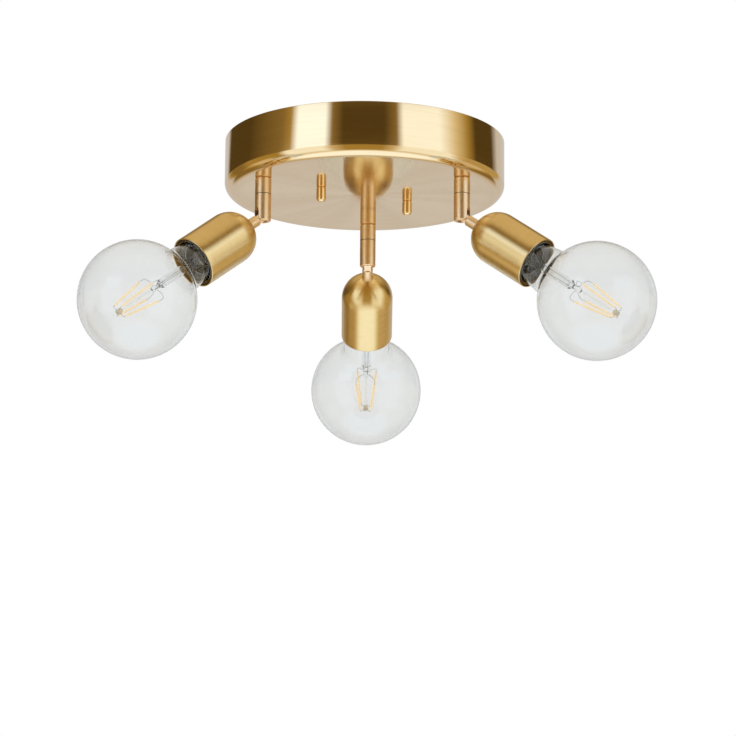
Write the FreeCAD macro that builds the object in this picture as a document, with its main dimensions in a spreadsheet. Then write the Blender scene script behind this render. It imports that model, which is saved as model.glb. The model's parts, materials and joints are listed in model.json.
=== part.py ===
import FreeCAD, Part
import math
import os
import re
import Sketcher

# Ceiling light with three swivel lamp heads. The frame is at the centre of the canopy
# on the ceiling, +Z up. Lengths are millimetres and angles are degrees.
sizes = {
    # Canopy, a spun pan that closes on the ceiling
    "canopy_diameter": 230,
    "canopy_height": 44,
    "canopy_wall": 1.2,
    "canopy_edge_radius": 8,
    "stem_edge_distance": 22,
    "rear_arm_angle": 90,
    # Mounting bracket, a strap with its middle stepped down
    "bracket_angle": 30,
    "bracket_width": 22,
    "bracket_thickness": 2,
    "bracket_drop": 8,
    "bracket_step_run": 6,
    "bracket_end": 10,
    "bracket_corner_radius": 5,
    "ceiling_hole_diameter": 5,
    "ceiling_hole_margin": 8,
    "cable_hole_diameter": 10,
    "cable_hole_gap": 10,
    # Studs and nuts that hold the canopy to the bracket
    "stud_spacing": 80,
    "stud_margin": 6,
    "stud_diameter": 4,
    "stud_head_diameter": 7.5,
    "stud_head_height": 2.6,
    "stud_nut_width": 7,
    "stud_nut_height": 3.2,
    "cap_nut_diameter": 8,
    "cap_nut_height": 12,
    "cap_nut_round": 2.6,
    "cap_nut_roof": 2.5,
    "stud_end_gap": 0.5,
    # Earth screw on the bracket
    "earth_stud_distance": 12,
    "screw_end": 1,
    # Terminal block under the bracket
    "block_gap": 12,
    "block_depth": 18,
    "block_height": 15,
    "block_edge": 2,
    "way_spacing": 8,
    "wire_hole_drop": 6,
    "wire_hole_diameter": 3.4,
    "well_offset": 5,
    "well_depth": 6,
    "terminal_screw_diameter": 3.4,
    "terminal_screw_height": 4,
    "fixing_diameter": 3,
    "fixing_head_diameter": 5.5,
    "fixing_head_height": 2,
    "fixing_nut_width": 5.5,
    "fixing_nut_height": 2.4,
    # Sleeved leads from the terminal block to the stems
    "lead_diameter": 3,
    "lead_end_depth": 5,
    "lead_stem_depth": 3,
    # Stem: fixed collar above, turning barrel below
    "stem_diameter": 13.2,
    "collar_height": 13.4,
    "collar_chamfer": 0.8,
    "collar_roof": 4,
    "nipple_diameter": 10,
    "nipple_end": 1.5,
    "stem_bore_diameter": 5.2,
    "stem_washer_diameter": 18,
    "stem_washer_thickness": 0.8,
    "stem_nut_width": 14,
    "stem_nut_height": 4,
    "swivel_washer_thickness": 0.5,
    "swivel_washer_inset": 0.25,
    "spigot_diameter": 8,
    "ring_wire": 1,
    "ring_gap_angle": 40,
    "stop_height": 1.6,
    "stop_lug_angle": 20,
    "swivel_travel_angle": 240,
    # Tilt joint
    "pin_drop": 32.2,
    "pin_diameter": 2.5,
    "pin_inset": 0.25,
    "barrel_tail": 4,
    "barrel_round": 1.2,
    "slot_width": 6,
    "slot_rise": 6.8,
    "tongue_width": 7,
    "finger_diameter": 9,
    "finger_round": 0.6,
    "finger_length": 11.15,
    "finger_thread_diameter": 7,
    "finger_thread_length": 9,
    "finger_bore_diameter": 4,
    "finger_bore_roof": 2.6,
    # Cup and lamp holder
    "cup_diameter": 43.2,
    "cup_wall": 1,
    "cup_seat_radius": 5.5,
    "cup_length": 63,
    "holder_recess": 0.5,
    "holder_edge_round": 0.8,
    "holder_boss_height": 5,
    "holder_cone_height": 18,
    "holder_floor_thickness": 2,
    "holder_ledge_depth": 10.2,
    "shell_wall": 0.5,
    "shell_length": 18,
    "contact_depth": 29.2,
    "contact_height": 3.5,
    "contact_strip": 0.5,
    "contact_width": 6,
    "contact_foot": 9,
    # Globe bulb on a screw cap of 27 mm
    "bulb_length": 140,
    "globe_diameter": 95,
    "glass_wall": 0.8,
    "cap_diameter": 26,
    "cap_length": 24.5,
    "cap_wall": 0.4,
    "cap_taper_height": 3.5,
    "cap_end_radius": 8.5,
    "insulator_height": 3,
    "tip_radius": 4.5,
    "tip_height": 1,
    "neck_diameter": 34.4,
    "neck_flare_angle": 8,
    "neck_blend_radius": 10,
    "neck_end_depth": 8,
    # Glass mount, wires and filaments inside the bulb
    "mount_foot_depth": 4,
    "mount_foot_height": 14,
    "mount_diameter": 8,
    "mount_wall": 1,
    "mount_bead_distance": 19.5,
    "mount_bead_radius": 2.8,
    "mount_waist_radius": 1.8,
    "mount_rod_diameter": 1.4,
    "hub_diameter": 4.4,
    "hub_length": 4.5,
    "hub_distance": 20,
    "filament_diameter": 1.8,
    "filament_foot_radius": 10,
    "filament_foot_distance": 14,
    "filament_head_radius": 4.5,
    "filament_head_distance": 19.5,
    "wire_diameter": 0.5,
    "wire_gap": 0.15,
    # Clearances
    "thread_clearance": 0.05,
    "hole_clearance": 0.15,
    "running_clearance": 0.05,
    "groove_clearance": 0.1,
    "seat_clearance": 0.3,
    "tongue_clearance": 0.2,
    "finger_clearance": 0.4,
    "stop_clearance": 0.3,
    "stop_margin_angle": 1,
    "shell_clearance": 0.35,
    "mouth_clearance": 0.7,
    # Pose of each head: turn from the radial line and tilt from straight down
    "rear_turn_angle": 2.2,
    "rear_tilt_angle": 54.8,
    "rear_bulb_angle": 45,
    "front_left_turn_angle": 5.5,
    "front_left_tilt_angle": 53,
    "front_left_bulb_angle": 45,
    "front_right_turn_angle": 5.3,
    "front_right_tilt_angle": 54.7,
    "front_right_bulb_angle": 45,
}

# The arms stand evenly round the canopy, from the rear one on
arms = ["rear", "front_left", "front_right"]

# Sizes that follow from the driving ones. Distances on a head run from its tilt pin
# along the head's axis, towards the bulb.
relations = {
    "canopy_radius": "canopy_diameter / 2",
    "arm_radius": "canopy_radius - stem_edge_distance",
    "plate_low": "-canopy_height",
    "plate_top": "canopy_wall - canopy_height",
    "strap_top": "-bracket_drop",
    "strap_low": "-bracket_drop - bracket_thickness",
    "stud_radius": "stud_spacing / 2",
    "centre_half": "stud_radius + stud_margin",
    "step_half": "centre_half + bracket_step_run",
    "ceiling_hole_radius": "step_half + ceiling_hole_margin",
    "bracket_half": "ceiling_hole_radius + bracket_end",
    "step_slant": "sqrt(bracket_step_run ^ 2 + bracket_drop ^ 2)",
    "bend_shift": "bracket_thickness * (step_slant - bracket_step_run) / bracket_drop",
    "earth_place": "earth_stud_distance - stud_radius",
    "cable_place": "earth_place + cable_hole_gap",
    "block_start": "cable_place + block_gap",
    "block_low": "strap_low - block_height",
    "block_half": "block_depth / 2",
    "fixing_place": "block_start + way_spacing",
    "wire_level": "strap_low - wire_hole_drop",
    "well_floor": "block_low + well_depth",
    "stud_hole": "stud_diameter / 2 + hole_clearance",
    "stud_thread": "stud_diameter / 2 + thread_clearance",
    "fixing_hole": "fixing_diameter / 2 + hole_clearance",
    "stem_radius": "stem_diameter / 2",
    "bore_radius": "stem_bore_diameter / 2",
    "nipple_radius": "nipple_diameter / 2",
    "washer_top": "plate_top + stem_washer_thickness",
    "nipple_top": "canopy_wall + stem_washer_thickness + stem_nut_height + nipple_end",
    "spigot_radius": "spigot_diameter / 2",
    "socket_radius": "spigot_radius + running_clearance",
    "barrel_top": "-collar_height - swivel_washer_thickness",
    "spigot_top": "-collar_roof - stop_height - stop_clearance",
    "ring_level": "(barrel_top + spigot_top) / 2",
    "ring_radius": "ring_wire / 2",
    "groove_half": "ring_radius + groove_clearance",
    "stop_tab_angle": "360 - stop_lug_angle - swivel_travel_angle - 2 * stop_margin_angle",
    "barrel_low": "-pin_drop - barrel_tail",
    "eye_radius": "tongue_width / 2",
    "slot_back": "-eye_radius - seat_clearance",
    "tongue_thickness": "slot_width - 2 * tongue_clearance",
    "finger_radius": "finger_diameter / 2",
    "slot_corner": "sqrt(stem_radius ^ 2 - (slot_width / 2) ^ 2)",
    "round_across": "slot_corner - barrel_round",
    "round_down": "barrel_tail - barrel_round",
    "barrel_reach": "sqrt(round_across ^ 2 + round_down ^ 2) + barrel_round",
    "finger_shoulder": "max(stem_radius; barrel_reach) + finger_clearance",
    "thread_radius": "finger_thread_diameter / 2",
    "cup_seat": "finger_shoulder + finger_length",
    "cup_radius": "cup_diameter / 2",
    "dome_rise": "sqrt(cup_radius ^ 2 - cup_seat_radius ^ 2)",
    "dome_centre": "cup_seat + dome_rise",
    "cup_inside": "cup_radius - cup_wall",
    "seat_inside": "cup_seat + cup_wall",
    "seat_inside_radius": "sqrt(cup_inside ^ 2 - (dome_rise - cup_wall) ^ 2)",
    "cup_rim": "cup_seat + cup_length",
    "mouth": "cup_rim - holder_recess",
    "boss_radius": "seat_inside_radius - seat_clearance",
    "boss_end": "seat_inside + holder_boss_height",
    "cone_end": "boss_end + holder_cone_height",
    "skirt_radius": "cup_inside - seat_clearance",
    "bulb_tip": "cup_rim - contact_depth",
    "holder_floor": "bulb_tip - contact_height",
    "cap_radius": "cap_diameter / 2",
    "cap_rim": "bulb_tip + cap_length",
    "cap_taper": "bulb_tip + insulator_height",
    "cap_shoulder": "cap_taper + cap_taper_height",
    "shell_inside": "cap_radius + shell_clearance",
    "shell_outside": "shell_inside + shell_wall",
    "holder_bore": "shell_outside + groove_clearance",
    "neck_radius": "neck_diameter / 2",
    "neck_inside": "cap_radius - cap_wall - seat_clearance",
    "neck_shoulder": "neck_radius - neck_inside",
    "mouth_radius": "neck_radius + mouth_clearance",
    "globe_radius": "globe_diameter / 2",
    "globe_centre": "bulb_tip + bulb_length - globe_radius",
    "foot_radius": "neck_inside - glass_wall - seat_clearance",
    "mount_foot": "cap_rim - mount_foot_depth",
    "mount_neck": "mount_foot + mount_foot_height",
    "mount_radius": "mount_diameter / 2",
    "bead_place": "globe_centre - mount_bead_distance",
    "bead_swell": "mount_bead_radius - mount_waist_radius",
    "bead_curve": "(mount_bead_radius ^ 2 + bead_swell ^ 2) / (2 * bead_swell)",
    "rod_radius": "mount_rod_diameter / 2",
    "hub_radius": "hub_diameter / 2",
    "hub_place": "globe_centre + hub_distance",
    "filament_radius": "filament_diameter / 2",
    "filament_foot": "globe_centre - filament_foot_distance",
    "filament_head": "globe_centre + filament_head_distance",
}

doc = FreeCAD.newDocument("ceiling_light")
sheet = doc.addObject("Spreadsheet::Sheet", "Sizes")
for row, (size_name, number) in enumerate(sizes.items(), start=1):
    sheet.set(f"A{row}", size_name)
    sheet.set(f"B{row}", str(number))
    sheet.setAlias(f"B{row}", size_name)
doc.recompute()

nodes = []


def expand(text):
    # Replaces the names in an expression by sheet cells and by the relations' own terms
    def term(match):
        name = match.group(0)
        if name in relations:
            return f"({expand(relations[name])})"
        return f"Sizes.{name}" if name in sizes else name
    return re.sub(r"[a-z_]+", term, text)


def value(text):
    return float(sheet.evalExpression(expand(text)))


def arm_angle(arm):
    return f"rear_arm_angle + {arms.index(arm)} * 360 / {len(arms)}"


def new_body(name, placement=None):
    body = doc.addObject("PartDesign::Body", name)
    body.AllowCompound = True
    if placement:
        body.setExpression("Placement", placement)
    nodes.append(body)
    return body


def turned_about_z(angle):
    # Placement expression of a piece turned about the canopy's axis
    return f"placement(vector(0; 0; 0); rotation(vector(0; 0; 1); {expand(angle)}))"


def origin_feature(body, role):
    return next(item for item in body.Origin.OriginFeatures if item.Role == role)


def new_sketch(body, name, role, level=None):
    sketch = body.newObject("Sketcher::SketchObject", name)
    sketch.AttachmentSupport = (origin_feature(body, role), [""])
    sketch.MapMode = "FlatFace"
    if level:
        sketch.setExpression("AttachmentOffset.Base.z", expand(level))
    return sketch


def bind(sketch, kind, items, text):
    # Adds a constraint whose number comes from an expression
    index = sketch.addConstraint(Sketcher.Constraint(kind, *items, value(text)))
    sketch.setExpression(f"Constraints[{index}]", expand(text))


def pin_point(sketch, edge, end, across, up):
    bind(sketch, "DistanceX", (-1, 1, edge, end), across)
    bind(sketch, "DistanceY", (-1, 1, edge, end), up)


def arc_between(start, end, radius, turn):
    # The short arc from start to end that bends left (turn 1) or right (turn -1)
    chord = end - start
    reach = math.sqrt(max(radius ** 2 - (chord.Length / 2) ** 2, 0))
    left = FreeCAD.Vector(-chord.y, chord.x, 0).normalize()
    centre = (start + end) / 2 + left * reach * turn
    first, last = (start, end) if turn > 0 else (end, start)
    angles = [math.atan2(point.y - centre.y, point.x - centre.x) for point in (first, last)]
    circle = Part.Circle(centre, FreeCAD.Vector(0, 0, 1), radius)
    return Part.ArcOfCircle(circle, *angles)


def draw(body, name, role, path, level=None, axis=None):
    # A closed outline. Each point is (across, up), with a radius and a turn if an arc follows.
    # An axis is the distance of an upright centre line from the origin.
    sketch = new_sketch(body, name, role, level)
    points = [FreeCAD.Vector(value(place[0]), value(place[1]), 0) for place in path]
    ends = []
    for index, place in enumerate(path):
        start, end = points[index], points[(index + 1) % len(points)]
        if len(place) == 2:
            edge = sketch.addGeometry(Part.LineSegment(start, end))
            ends.append((edge, 1, 2))
        else:
            edge = sketch.addGeometry(arc_between(start, end, value(place[2]), place[3]))
            ends.append((edge, 1, 2) if place[3] > 0 else (edge, 2, 1))
    for (edge, _, last), (follower, first, _) in zip(ends, ends[1:] + ends[:1]):
        sketch.addConstraint(Sketcher.Constraint("Coincident", edge, last, follower, first))
    for place, (edge, first, _) in zip(path, ends):
        pin_point(sketch, edge, first, place[0], place[1])
        if len(place) > 2:
            bind(sketch, "Radius", (edge,), place[2])
    if axis:
        across = value(axis)
        line = Part.LineSegment(FreeCAD.Vector(across, 0, 0), FreeCAD.Vector(across, 1, 0))
        edge = sketch.addGeometry(line, True)
        pin_point(sketch, edge, 1, axis, "0")
        pin_point(sketch, edge, 2, axis, "1")
    return sketch


def add_circle(sketch, across, up, radius):
    centre = FreeCAD.Vector(value(across), value(up), 0)
    edge = sketch.addGeometry(Part.Circle(centre, FreeCAD.Vector(0, 0, 1), value(radius)))
    pin_point(sketch, edge, 3, across, up)
    bind(sketch, "Radius", (edge,), radius)


def draw_circles(body, name, role, circles, level=None):
    # Each circle is (across, up, radius)
    sketch = new_sketch(body, name, role, level)
    for across, up, radius in circles:
        add_circle(sketch, across, up, radius)
    return sketch


def revolve(body, sketch, own_axis=False, angle="360"):
    feature = body.newObject("PartDesign::Revolution", sketch.Name + "_turned")
    feature.Profile = sketch
    own, shared = (sketch, ["Axis0"]), (origin_feature(body, "Z_Axis"), [""])
    feature.ReferenceAxis = own if own_axis else shared
    feature.setExpression("Angle", expand(angle))
    return feature


def pad(body, sketch, length, symmetric=False, down=False):
    feature = body.newObject("PartDesign::Pad", sketch.Name + "_pad")
    feature.Profile = sketch
    feature.setExpression("Length", expand(length))
    feature.SideType = "Symmetric" if symmetric else "One side"
    feature.Reversed = down
    return feature


def pocket(body, sketch, length=None, symmetric=False, forward=False):
    # Cuts against the sketch's normal, along it if forward, and right through with no length
    doc.recompute()
    before = body.Shape.Volume
    feature = body.newObject("PartDesign::Pocket", sketch.Name + "_cut")
    feature.Profile = sketch
    feature.SideType = "Symmetric" if symmetric else "One side"
    feature.Reversed = forward
    if length:
        feature.setExpression("Length", expand(length))
    else:
        feature.Type = "ThroughAll"
    doc.recompute()
    if not body.Shape.Volume < before:
        raise RuntimeError(f"{body.Name}: {sketch.Name} cuts nothing")
    return feature


def repeat_round(body, features, count):
    # Copies features evenly round the body's upright axis
    pattern = body.newObject("PartDesign::PolarPattern", features[0].Name + "_ring")
    pattern.Originals = features
    pattern.Axis = (origin_feature(body, "Z_Axis"), [""])
    pattern.Angle = 360
    pattern.Occurrences = count
    body.Tip = pattern


def repeat_along(body, features, count, length):
    # Copies features evenly along the body's X axis
    pattern = body.newObject("PartDesign::LinearPattern", features[0].Name + "_row")
    pattern.Originals = features
    pattern.Direction = (origin_feature(body, "X_Axis"), [""])
    pattern.setExpression("Length", expand(length))
    pattern.Occurrences = count
    body.Tip = pattern


def hexagon(width, across):
    # Corners of a hexagon of this width over flats
    corner = f"{width} / 2 / cos(30)"
    return [(f"{across} + {corner} * cos({60 * k})", f"{corner} * sin({60 * k})") for k in range(6)]


def hex_nut(body, name, width, hole, across, low, height):
    outline = draw(body, name, "XY_Plane", hexagon(width, across), level=low)
    add_circle(outline, across, "0", hole)
    return pad(body, outline, height)


def rod(body, name, start, end, radius):
    # A straight round wire from start to end, each (across, up)
    run, rise = f"({end[0]} - ({start[0]}))", f"({end[1]} - ({start[1]}))"
    span = f"sqrt({run} ^ 2 + {rise} ^ 2)"
    aside, above = f"{radius} * {rise} / {span}", f"-{radius} * {run} / {span}"
    path = [start, end]
    path += [(f"{place[0]} + {aside}", f"{place[1]} + {above}") for place in (end, start)]
    sketch = draw(body, name, "XZ_Plane", path)
    ends = [FreeCAD.Vector(value(place[0]), value(place[1]), 0) for place in (start, end)]
    edge = sketch.addGeometry(Part.LineSegment(*ends), True)
    sketch.addConstraint(Sketcher.Constraint("Coincident", edge, 1, 0, 1))
    sketch.addConstraint(Sketcher.Constraint("Coincident", edge, 2, 0, 2))
    return revolve(body, sketch, own_axis=True)


def ring_sector(inner, outer, middle, spread):
    # Outline of a sector of a flat ring, cut square at its two ends
    def corner(radius, side):
        angle = f"({middle} + {side} * {spread} / 2)"
        return (f"{radius} * cos{angle}", f"{radius} * sin{angle}")
    return [
        corner(inner, -1),
        corner(outer, -1) + (outer, 1),
        corner(outer, 1),
        corner(inner, 1) + (inner, -1),
    ]


def canopy_pan():
    # One spun wall with a rounded lower edge, open at the ceiling
    body = new_body("canopy_pan")
    edge_place = "canopy_radius - canopy_edge_radius"
    edge_level = "canopy_edge_radius - canopy_height"
    wall = draw(body, "pan_wall", "XZ_Plane", [
        ("0", "plate_low"),
        (edge_place, "plate_low", "canopy_edge_radius", 1),
        ("canopy_radius", edge_level),
        ("canopy_radius", "0"),
        ("canopy_radius - canopy_wall", "0"),
        ("canopy_radius - canopy_wall", edge_level, "canopy_edge_radius - canopy_wall", -1),
        (edge_place, "plate_top"),
        ("0", "plate_top"),
    ])
    revolve(body, wall)
    stem_hole = draw_circles(body, "stem_hole", "XY_Plane", [
        ("arm_radius * cos(rear_arm_angle)", "arm_radius * sin(rear_arm_angle)",
         "nipple_radius + hole_clearance"),
    ])
    repeat_round(body, [pocket(body, stem_hole)], len(arms))
    stud_hole = draw_circles(body, "stud_hole", "XY_Plane", [
        ("stud_radius * cos(bracket_angle)", "stud_radius * sin(bracket_angle)", "stud_hole"),
    ])
    repeat_round(body, [pocket(body, stud_hole)], 2)


def mounting_bracket():
    # Strap bent down in the middle, so that the stud heads clear the ceiling
    body = new_body("mounting_bracket", turned_about_z("bracket_angle"))
    near = [
        ("centre_half + bend_shift", "strap_low"),
        ("step_half + bend_shift", "-bracket_thickness"),
        ("bracket_half", "-bracket_thickness"),
        ("bracket_half", "0"),
        ("step_half", "0"),
        ("centre_half", "strap_top"),
    ]
    far = [(f"-({across})", level) for across, level in reversed(near)]
    side = draw(body, "strap_side", "XZ_Plane", near + far)
    strap = pad(body, side, "bracket_width", symmetric=True)
    doc.recompute()
    corners = []
    for index, edge in enumerate(strap.Shape.Edges, start=1):
        box = edge.BoundBox
        if abs(box.ZLength - value("bracket_thickness")) < 1e-6 and box.XLength + box.YLength < 1e-6:
            corners.append(f"Edge{index}")
    rounding = body.newObject("PartDesign::Fillet", "strap_corners")
    rounding.Base = (strap, corners)
    rounding.setExpression("Radius", expand("bracket_corner_radius"))
    pair = draw_circles(body, "screw_and_stud_hole", "XY_Plane", [
        ("ceiling_hole_radius", "0", "ceiling_hole_diameter / 2"),
        ("stud_radius", "0", "stud_hole"),
    ])
    repeat_round(body, [pocket(body, pair)], 2)
    single = draw_circles(body, "cable_and_fixing_holes", "XY_Plane", [
        ("cable_place", "0", "cable_hole_diameter / 2"),
        ("earth_place", "0", "stud_hole"),
        ("fixing_place", "0", "fixing_hole"),
    ])
    pocket(body, single)


def bracket_studs():
    # Two long screws with their heads above the strap
    body = new_body("bracket_studs", turned_about_z("bracket_angle"))
    stud_end = "plate_low - cap_nut_height + cap_nut_roof + stud_end_gap"
    side = "stud_radius + stud_diameter / 2"
    head = "stud_radius + stud_head_diameter / 2"
    profile = draw(body, "stud_profile", "XZ_Plane", [
        ("stud_radius", stud_end),
        (side, stud_end),
        (side, "strap_top"),
        (head, "strap_top"),
        (head, "strap_top + stud_head_height"),
        ("stud_radius", "strap_top + stud_head_height"),
    ], axis="stud_radius")
    repeat_round(body, [revolve(body, profile, own_axis=True)], 2)


def bracket_nuts():
    body = new_body("bracket_nuts", turned_about_z("bracket_angle"))
    nut = hex_nut(body, "stud_nut", "stud_nut_width", "stud_thread", "stud_radius",
                  "strap_low - stud_nut_height", "stud_nut_height")
    repeat_round(body, [nut], 2)


def cap_nuts():
    # Round nuts with a rounded end under the canopy
    body = new_body("cap_nuts", turned_about_z("bracket_angle"))
    hole = "stud_radius + stud_thread"
    side = "stud_radius + cap_nut_diameter / 2"
    hole_end = "plate_low - cap_nut_height + cap_nut_roof"
    profile = draw(body, "cap_nut_profile", "XZ_Plane", [
        ("stud_radius", hole_end),
        (hole, hole_end),
        (hole, "plate_low"),
        (side, "plate_low"),
        (side, "plate_low - cap_nut_height + cap_nut_round", "cap_nut_round", -1),
        (f"{side} - cap_nut_round", "plate_low - cap_nut_height"),
        ("stud_radius", "plate_low - cap_nut_height"),
    ], axis="stud_radius")
    repeat_round(body, [revolve(body, profile, own_axis=True)], 2)


def earth_screw():
    # Screw from below with its nut above the strap
    body = new_body("earth_screw", turned_about_z("bracket_angle"))
    side = "earth_place + stud_diameter / 2"
    head = "earth_place + stud_head_diameter / 2"
    top = "strap_top + stud_nut_height + screw_end"
    profile = draw(body, "earth_profile", "XZ_Plane", [
        ("earth_place", "strap_low - stud_head_height"),
        (head, "strap_low - stud_head_height"),
        (head, "strap_low"),
        (side, "strap_low"),
        (side, top),
        ("earth_place", top),
    ], axis="earth_place")
    revolve(body, profile, own_axis=True)
    hex_nut(body, "earth_nut", "stud_nut_width", "stud_thread", "earth_place", "strap_top", "stud_nut_height")


def terminal_block():
    # Moulded block: through holes for the wires, wells for the clamp screws
    body = new_body("terminal_block", turned_about_z("bracket_angle"))
    start, ways = "block_start", len(arms)
    end = f"{start} + {ways} * way_spacing"
    outline = draw(body, "block_section", "YZ_Plane", [
        ("block_half", "strap_low"),
        ("-block_half", "strap_low"),
        ("-block_half", "block_low + block_edge"),
        ("block_edge - block_half", "block_low"),
        ("block_half - block_edge", "block_low"),
        ("block_half", "block_low + block_edge"),
    ], level=start)
    pad(body, outline, f"{ways} * way_spacing")
    first_way = f"{start} + way_spacing / 2"
    row = f"{ways - 1} * way_spacing"
    wire = draw_circles(body, "wire_hole", "XZ_Plane", [(first_way, "wire_level", "wire_hole_diameter / 2")])
    repeat_along(body, [pocket(body, wire, "2 * block_depth", symmetric=True)], ways, row)
    well = "terminal_screw_diameter / 2 + hole_clearance"
    wells = draw_circles(body, "screw_well", "XY_Plane", [
        (first_way, "well_offset", well),
        (first_way, "-well_offset", well),
    ], level="block_low")
    repeat_along(body, [pocket(body, wells, "well_depth", forward=True)], ways, row)
    counterbore = draw_circles(body, "fixing_recess", "XY_Plane", [
        ("fixing_place", "0", "fixing_head_diameter / 2 + hole_clearance"),
    ], level="block_low")
    pocket(body, counterbore, "well_depth", forward=True)
    shank = draw_circles(body, "fixing_hole", "XY_Plane", [
        ("fixing_place", "0", "fixing_hole"),
    ], level="strap_low")
    pocket(body, shank)


def terminal_screws():
    body = new_body("terminal_screws", turned_about_z("bracket_angle"))
    first_way = "block_start + way_spacing / 2"
    outline = draw_circles(body, "clamp_screw", "XY_Plane", [
        (first_way, "well_offset", "terminal_screw_diameter / 2"),
        (first_way, "-well_offset", "terminal_screw_diameter / 2"),
    ], level="well_floor")
    screw = pad(body, outline, "terminal_screw_height", down=True)
    repeat_along(body, [screw], len(arms), f"{len(arms) - 1} * way_spacing")


def terminal_fixing():
    # Screw up through the block and the strap, with its nut on top
    body = new_body("terminal_fixing", turned_about_z("bracket_angle"))
    side = "fixing_place + fixing_diameter / 2"
    head = "fixing_place + fixing_head_diameter / 2"
    top = "strap_top + fixing_nut_height + screw_end"
    profile = draw(body, "fixing_profile", "XZ_Plane", [
        ("fixing_place", "well_floor - fixing_head_height"),
        (head, "well_floor - fixing_head_height"),
        (head, "well_floor"),
        (side, "well_floor"),
        (side, top),
        ("fixing_place", top),
    ], axis="fixing_place")
    revolve(body, profile, own_axis=True)
    hex_nut(body, "fixing_nut", "fixing_nut_width", "fixing_diameter / 2 + thread_clearance",
            "fixing_place", "strap_top", "fixing_nut_height")


def stem_lock_nuts():
    body = new_body("stem_lock_nuts", turned_about_z("rear_arm_angle"))
    nut = hex_nut(body, "stem_nut", "stem_nut_width", "nipple_radius + thread_clearance", "arm_radius",
                  "washer_top", "stem_nut_height")
    repeat_round(body, [nut], len(arms))


def stem_lock_washers():
    body = new_body("stem_lock_washers", turned_about_z("rear_arm_angle"))
    outline = draw_circles(body, "stem_washer", "XY_Plane", [
        ("arm_radius", "0", "stem_washer_diameter / 2"),
        ("arm_radius", "0", "nipple_radius + hole_clearance"),
    ], level="plate_top")
    repeat_round(body, [pad(body, outline, "stem_washer_thickness")], len(arms))


def round_path(points):
    # Straight runs joined by tangent arcs. Each arc takes this share of the shorter run beside it.
    arc_share = 0.45
    edges, radii, last = [], [], points[0]
    for before, corner, after in zip(points, points[1:], points[2:]):
        inward, onward = (before - corner), (after - corner)
        reach = arc_share * min(inward.Length, onward.Length)
        turn = math.pi - inward.getAngle(onward)
        radii.append(reach / math.tan(turn / 2))
        enter = corner + inward.normalize() * reach
        leave = corner + onward.normalize() * reach
        bow = (inward + onward).normalize()
        middle = corner + bow * (radii[-1] / math.cos(turn / 2) - radii[-1])
        edges.append(Part.LineSegment(last, enter).toShape())
        edges.append(Part.Arc(enter, middle, leave).toShape())
        last = leave
    edges.append(Part.LineSegment(last, points[-1]).toShape())
    return Part.Wire(edges), radii


def arm_leads():
    # One sleeved lead for each arm, up out of its stem and over to a way of the block.
    # A route is its way, the side it enters from, how far out it turns in, and its bends,
    # which are along and across the bracket.
    routes = {
        "front_left": (0, -1, 25, [(-52, -20), (-20, -30)]),
        "front_right": (1, -1, 27, [(34, -46)]),
        "rear": (2, 1, 26, [(36, 46)]),
    }
    level = value("wire_level")
    leads = []
    for arm, (way, side, turn_in, bends) in routes.items():
        angle = math.radians(value(f"{arm_angle(arm)} - bracket_angle"))
        foot = FreeCAD.Vector(math.cos(angle), math.sin(angle), 0) * value("arm_radius")
        entry = value(f"block_start + ({way} + 0.5) * way_spacing")
        inner = side * value("block_half - lead_end_depth")
        points = [foot + FreeCAD.Vector(0, 0, value("plate_low - lead_stem_depth"))]
        points.append(foot + FreeCAD.Vector(0, 0, level))
        points += [FreeCAD.Vector(along, across, level) for along, across in bends]
        points.append(FreeCAD.Vector(entry, side * turn_in, level))
        points.append(FreeCAD.Vector(entry, inner, level))
        path, radii = round_path(points)
        section = Part.Wire(Part.makeCircle(value("lead_diameter / 2"), points[0], FreeCAD.Vector(0, 0, 1)))
        lead = path.makePipeShell([section], True, False)
        share = lead.Volume / (math.pi * value("lead_diameter / 2") ** 2 * path.Length)
        curves = ", ".join(f"{radius:.1f}" for radius in radii)
        print(f"lead {arm}: {path.Length:.1f} mm, bend radii {curves}, volume share {share:.4f}")
        leads.append(lead)
    feature = doc.addObject("Part::Feature", "arm_leads")
    feature.Shape = Part.makeCompound(leads)
    turn = FreeCAD.Rotation(FreeCAD.Vector(0, 0, 1), value("bracket_angle"))
    feature.Placement = FreeCAD.Placement(FreeCAD.Vector(), turn)
    nodes.append(feature)


def arm_frames(arm):
    # Placements of one arm: its fixed collar, its turning barrel and its tilting head
    angle = expand(arm_angle(arm))
    radius = expand("arm_radius")
    spin = expand(f"{arm_angle(arm)} + {arm}_turn_angle")
    upright = "rotation(vector(0; 0; 1); {})"
    tilt = f"rotation(vector(0; 1; 0); -{expand(arm + '_tilt_angle')})"
    foot = f"{radius} * cos({angle}); {radius} * sin({angle})"
    places = {
        "collar": (expand("plate_low"), upright.format(angle)),
        "stem": (expand("plate_low"), upright.format(spin)),
        "head": (expand("plate_low - pin_drop"), f"{upright.format(spin)} * {tilt}"),
    }
    screwed = upright.format(expand(f"{arm}_bulb_angle"))
    places["bulb"] = (places["head"][0], f"{places['head'][1]} * {screwed}")
    return {part: f"placement(vector({foot}; {level}); {turn})" for part, (level, turn) in places.items()}


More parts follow.
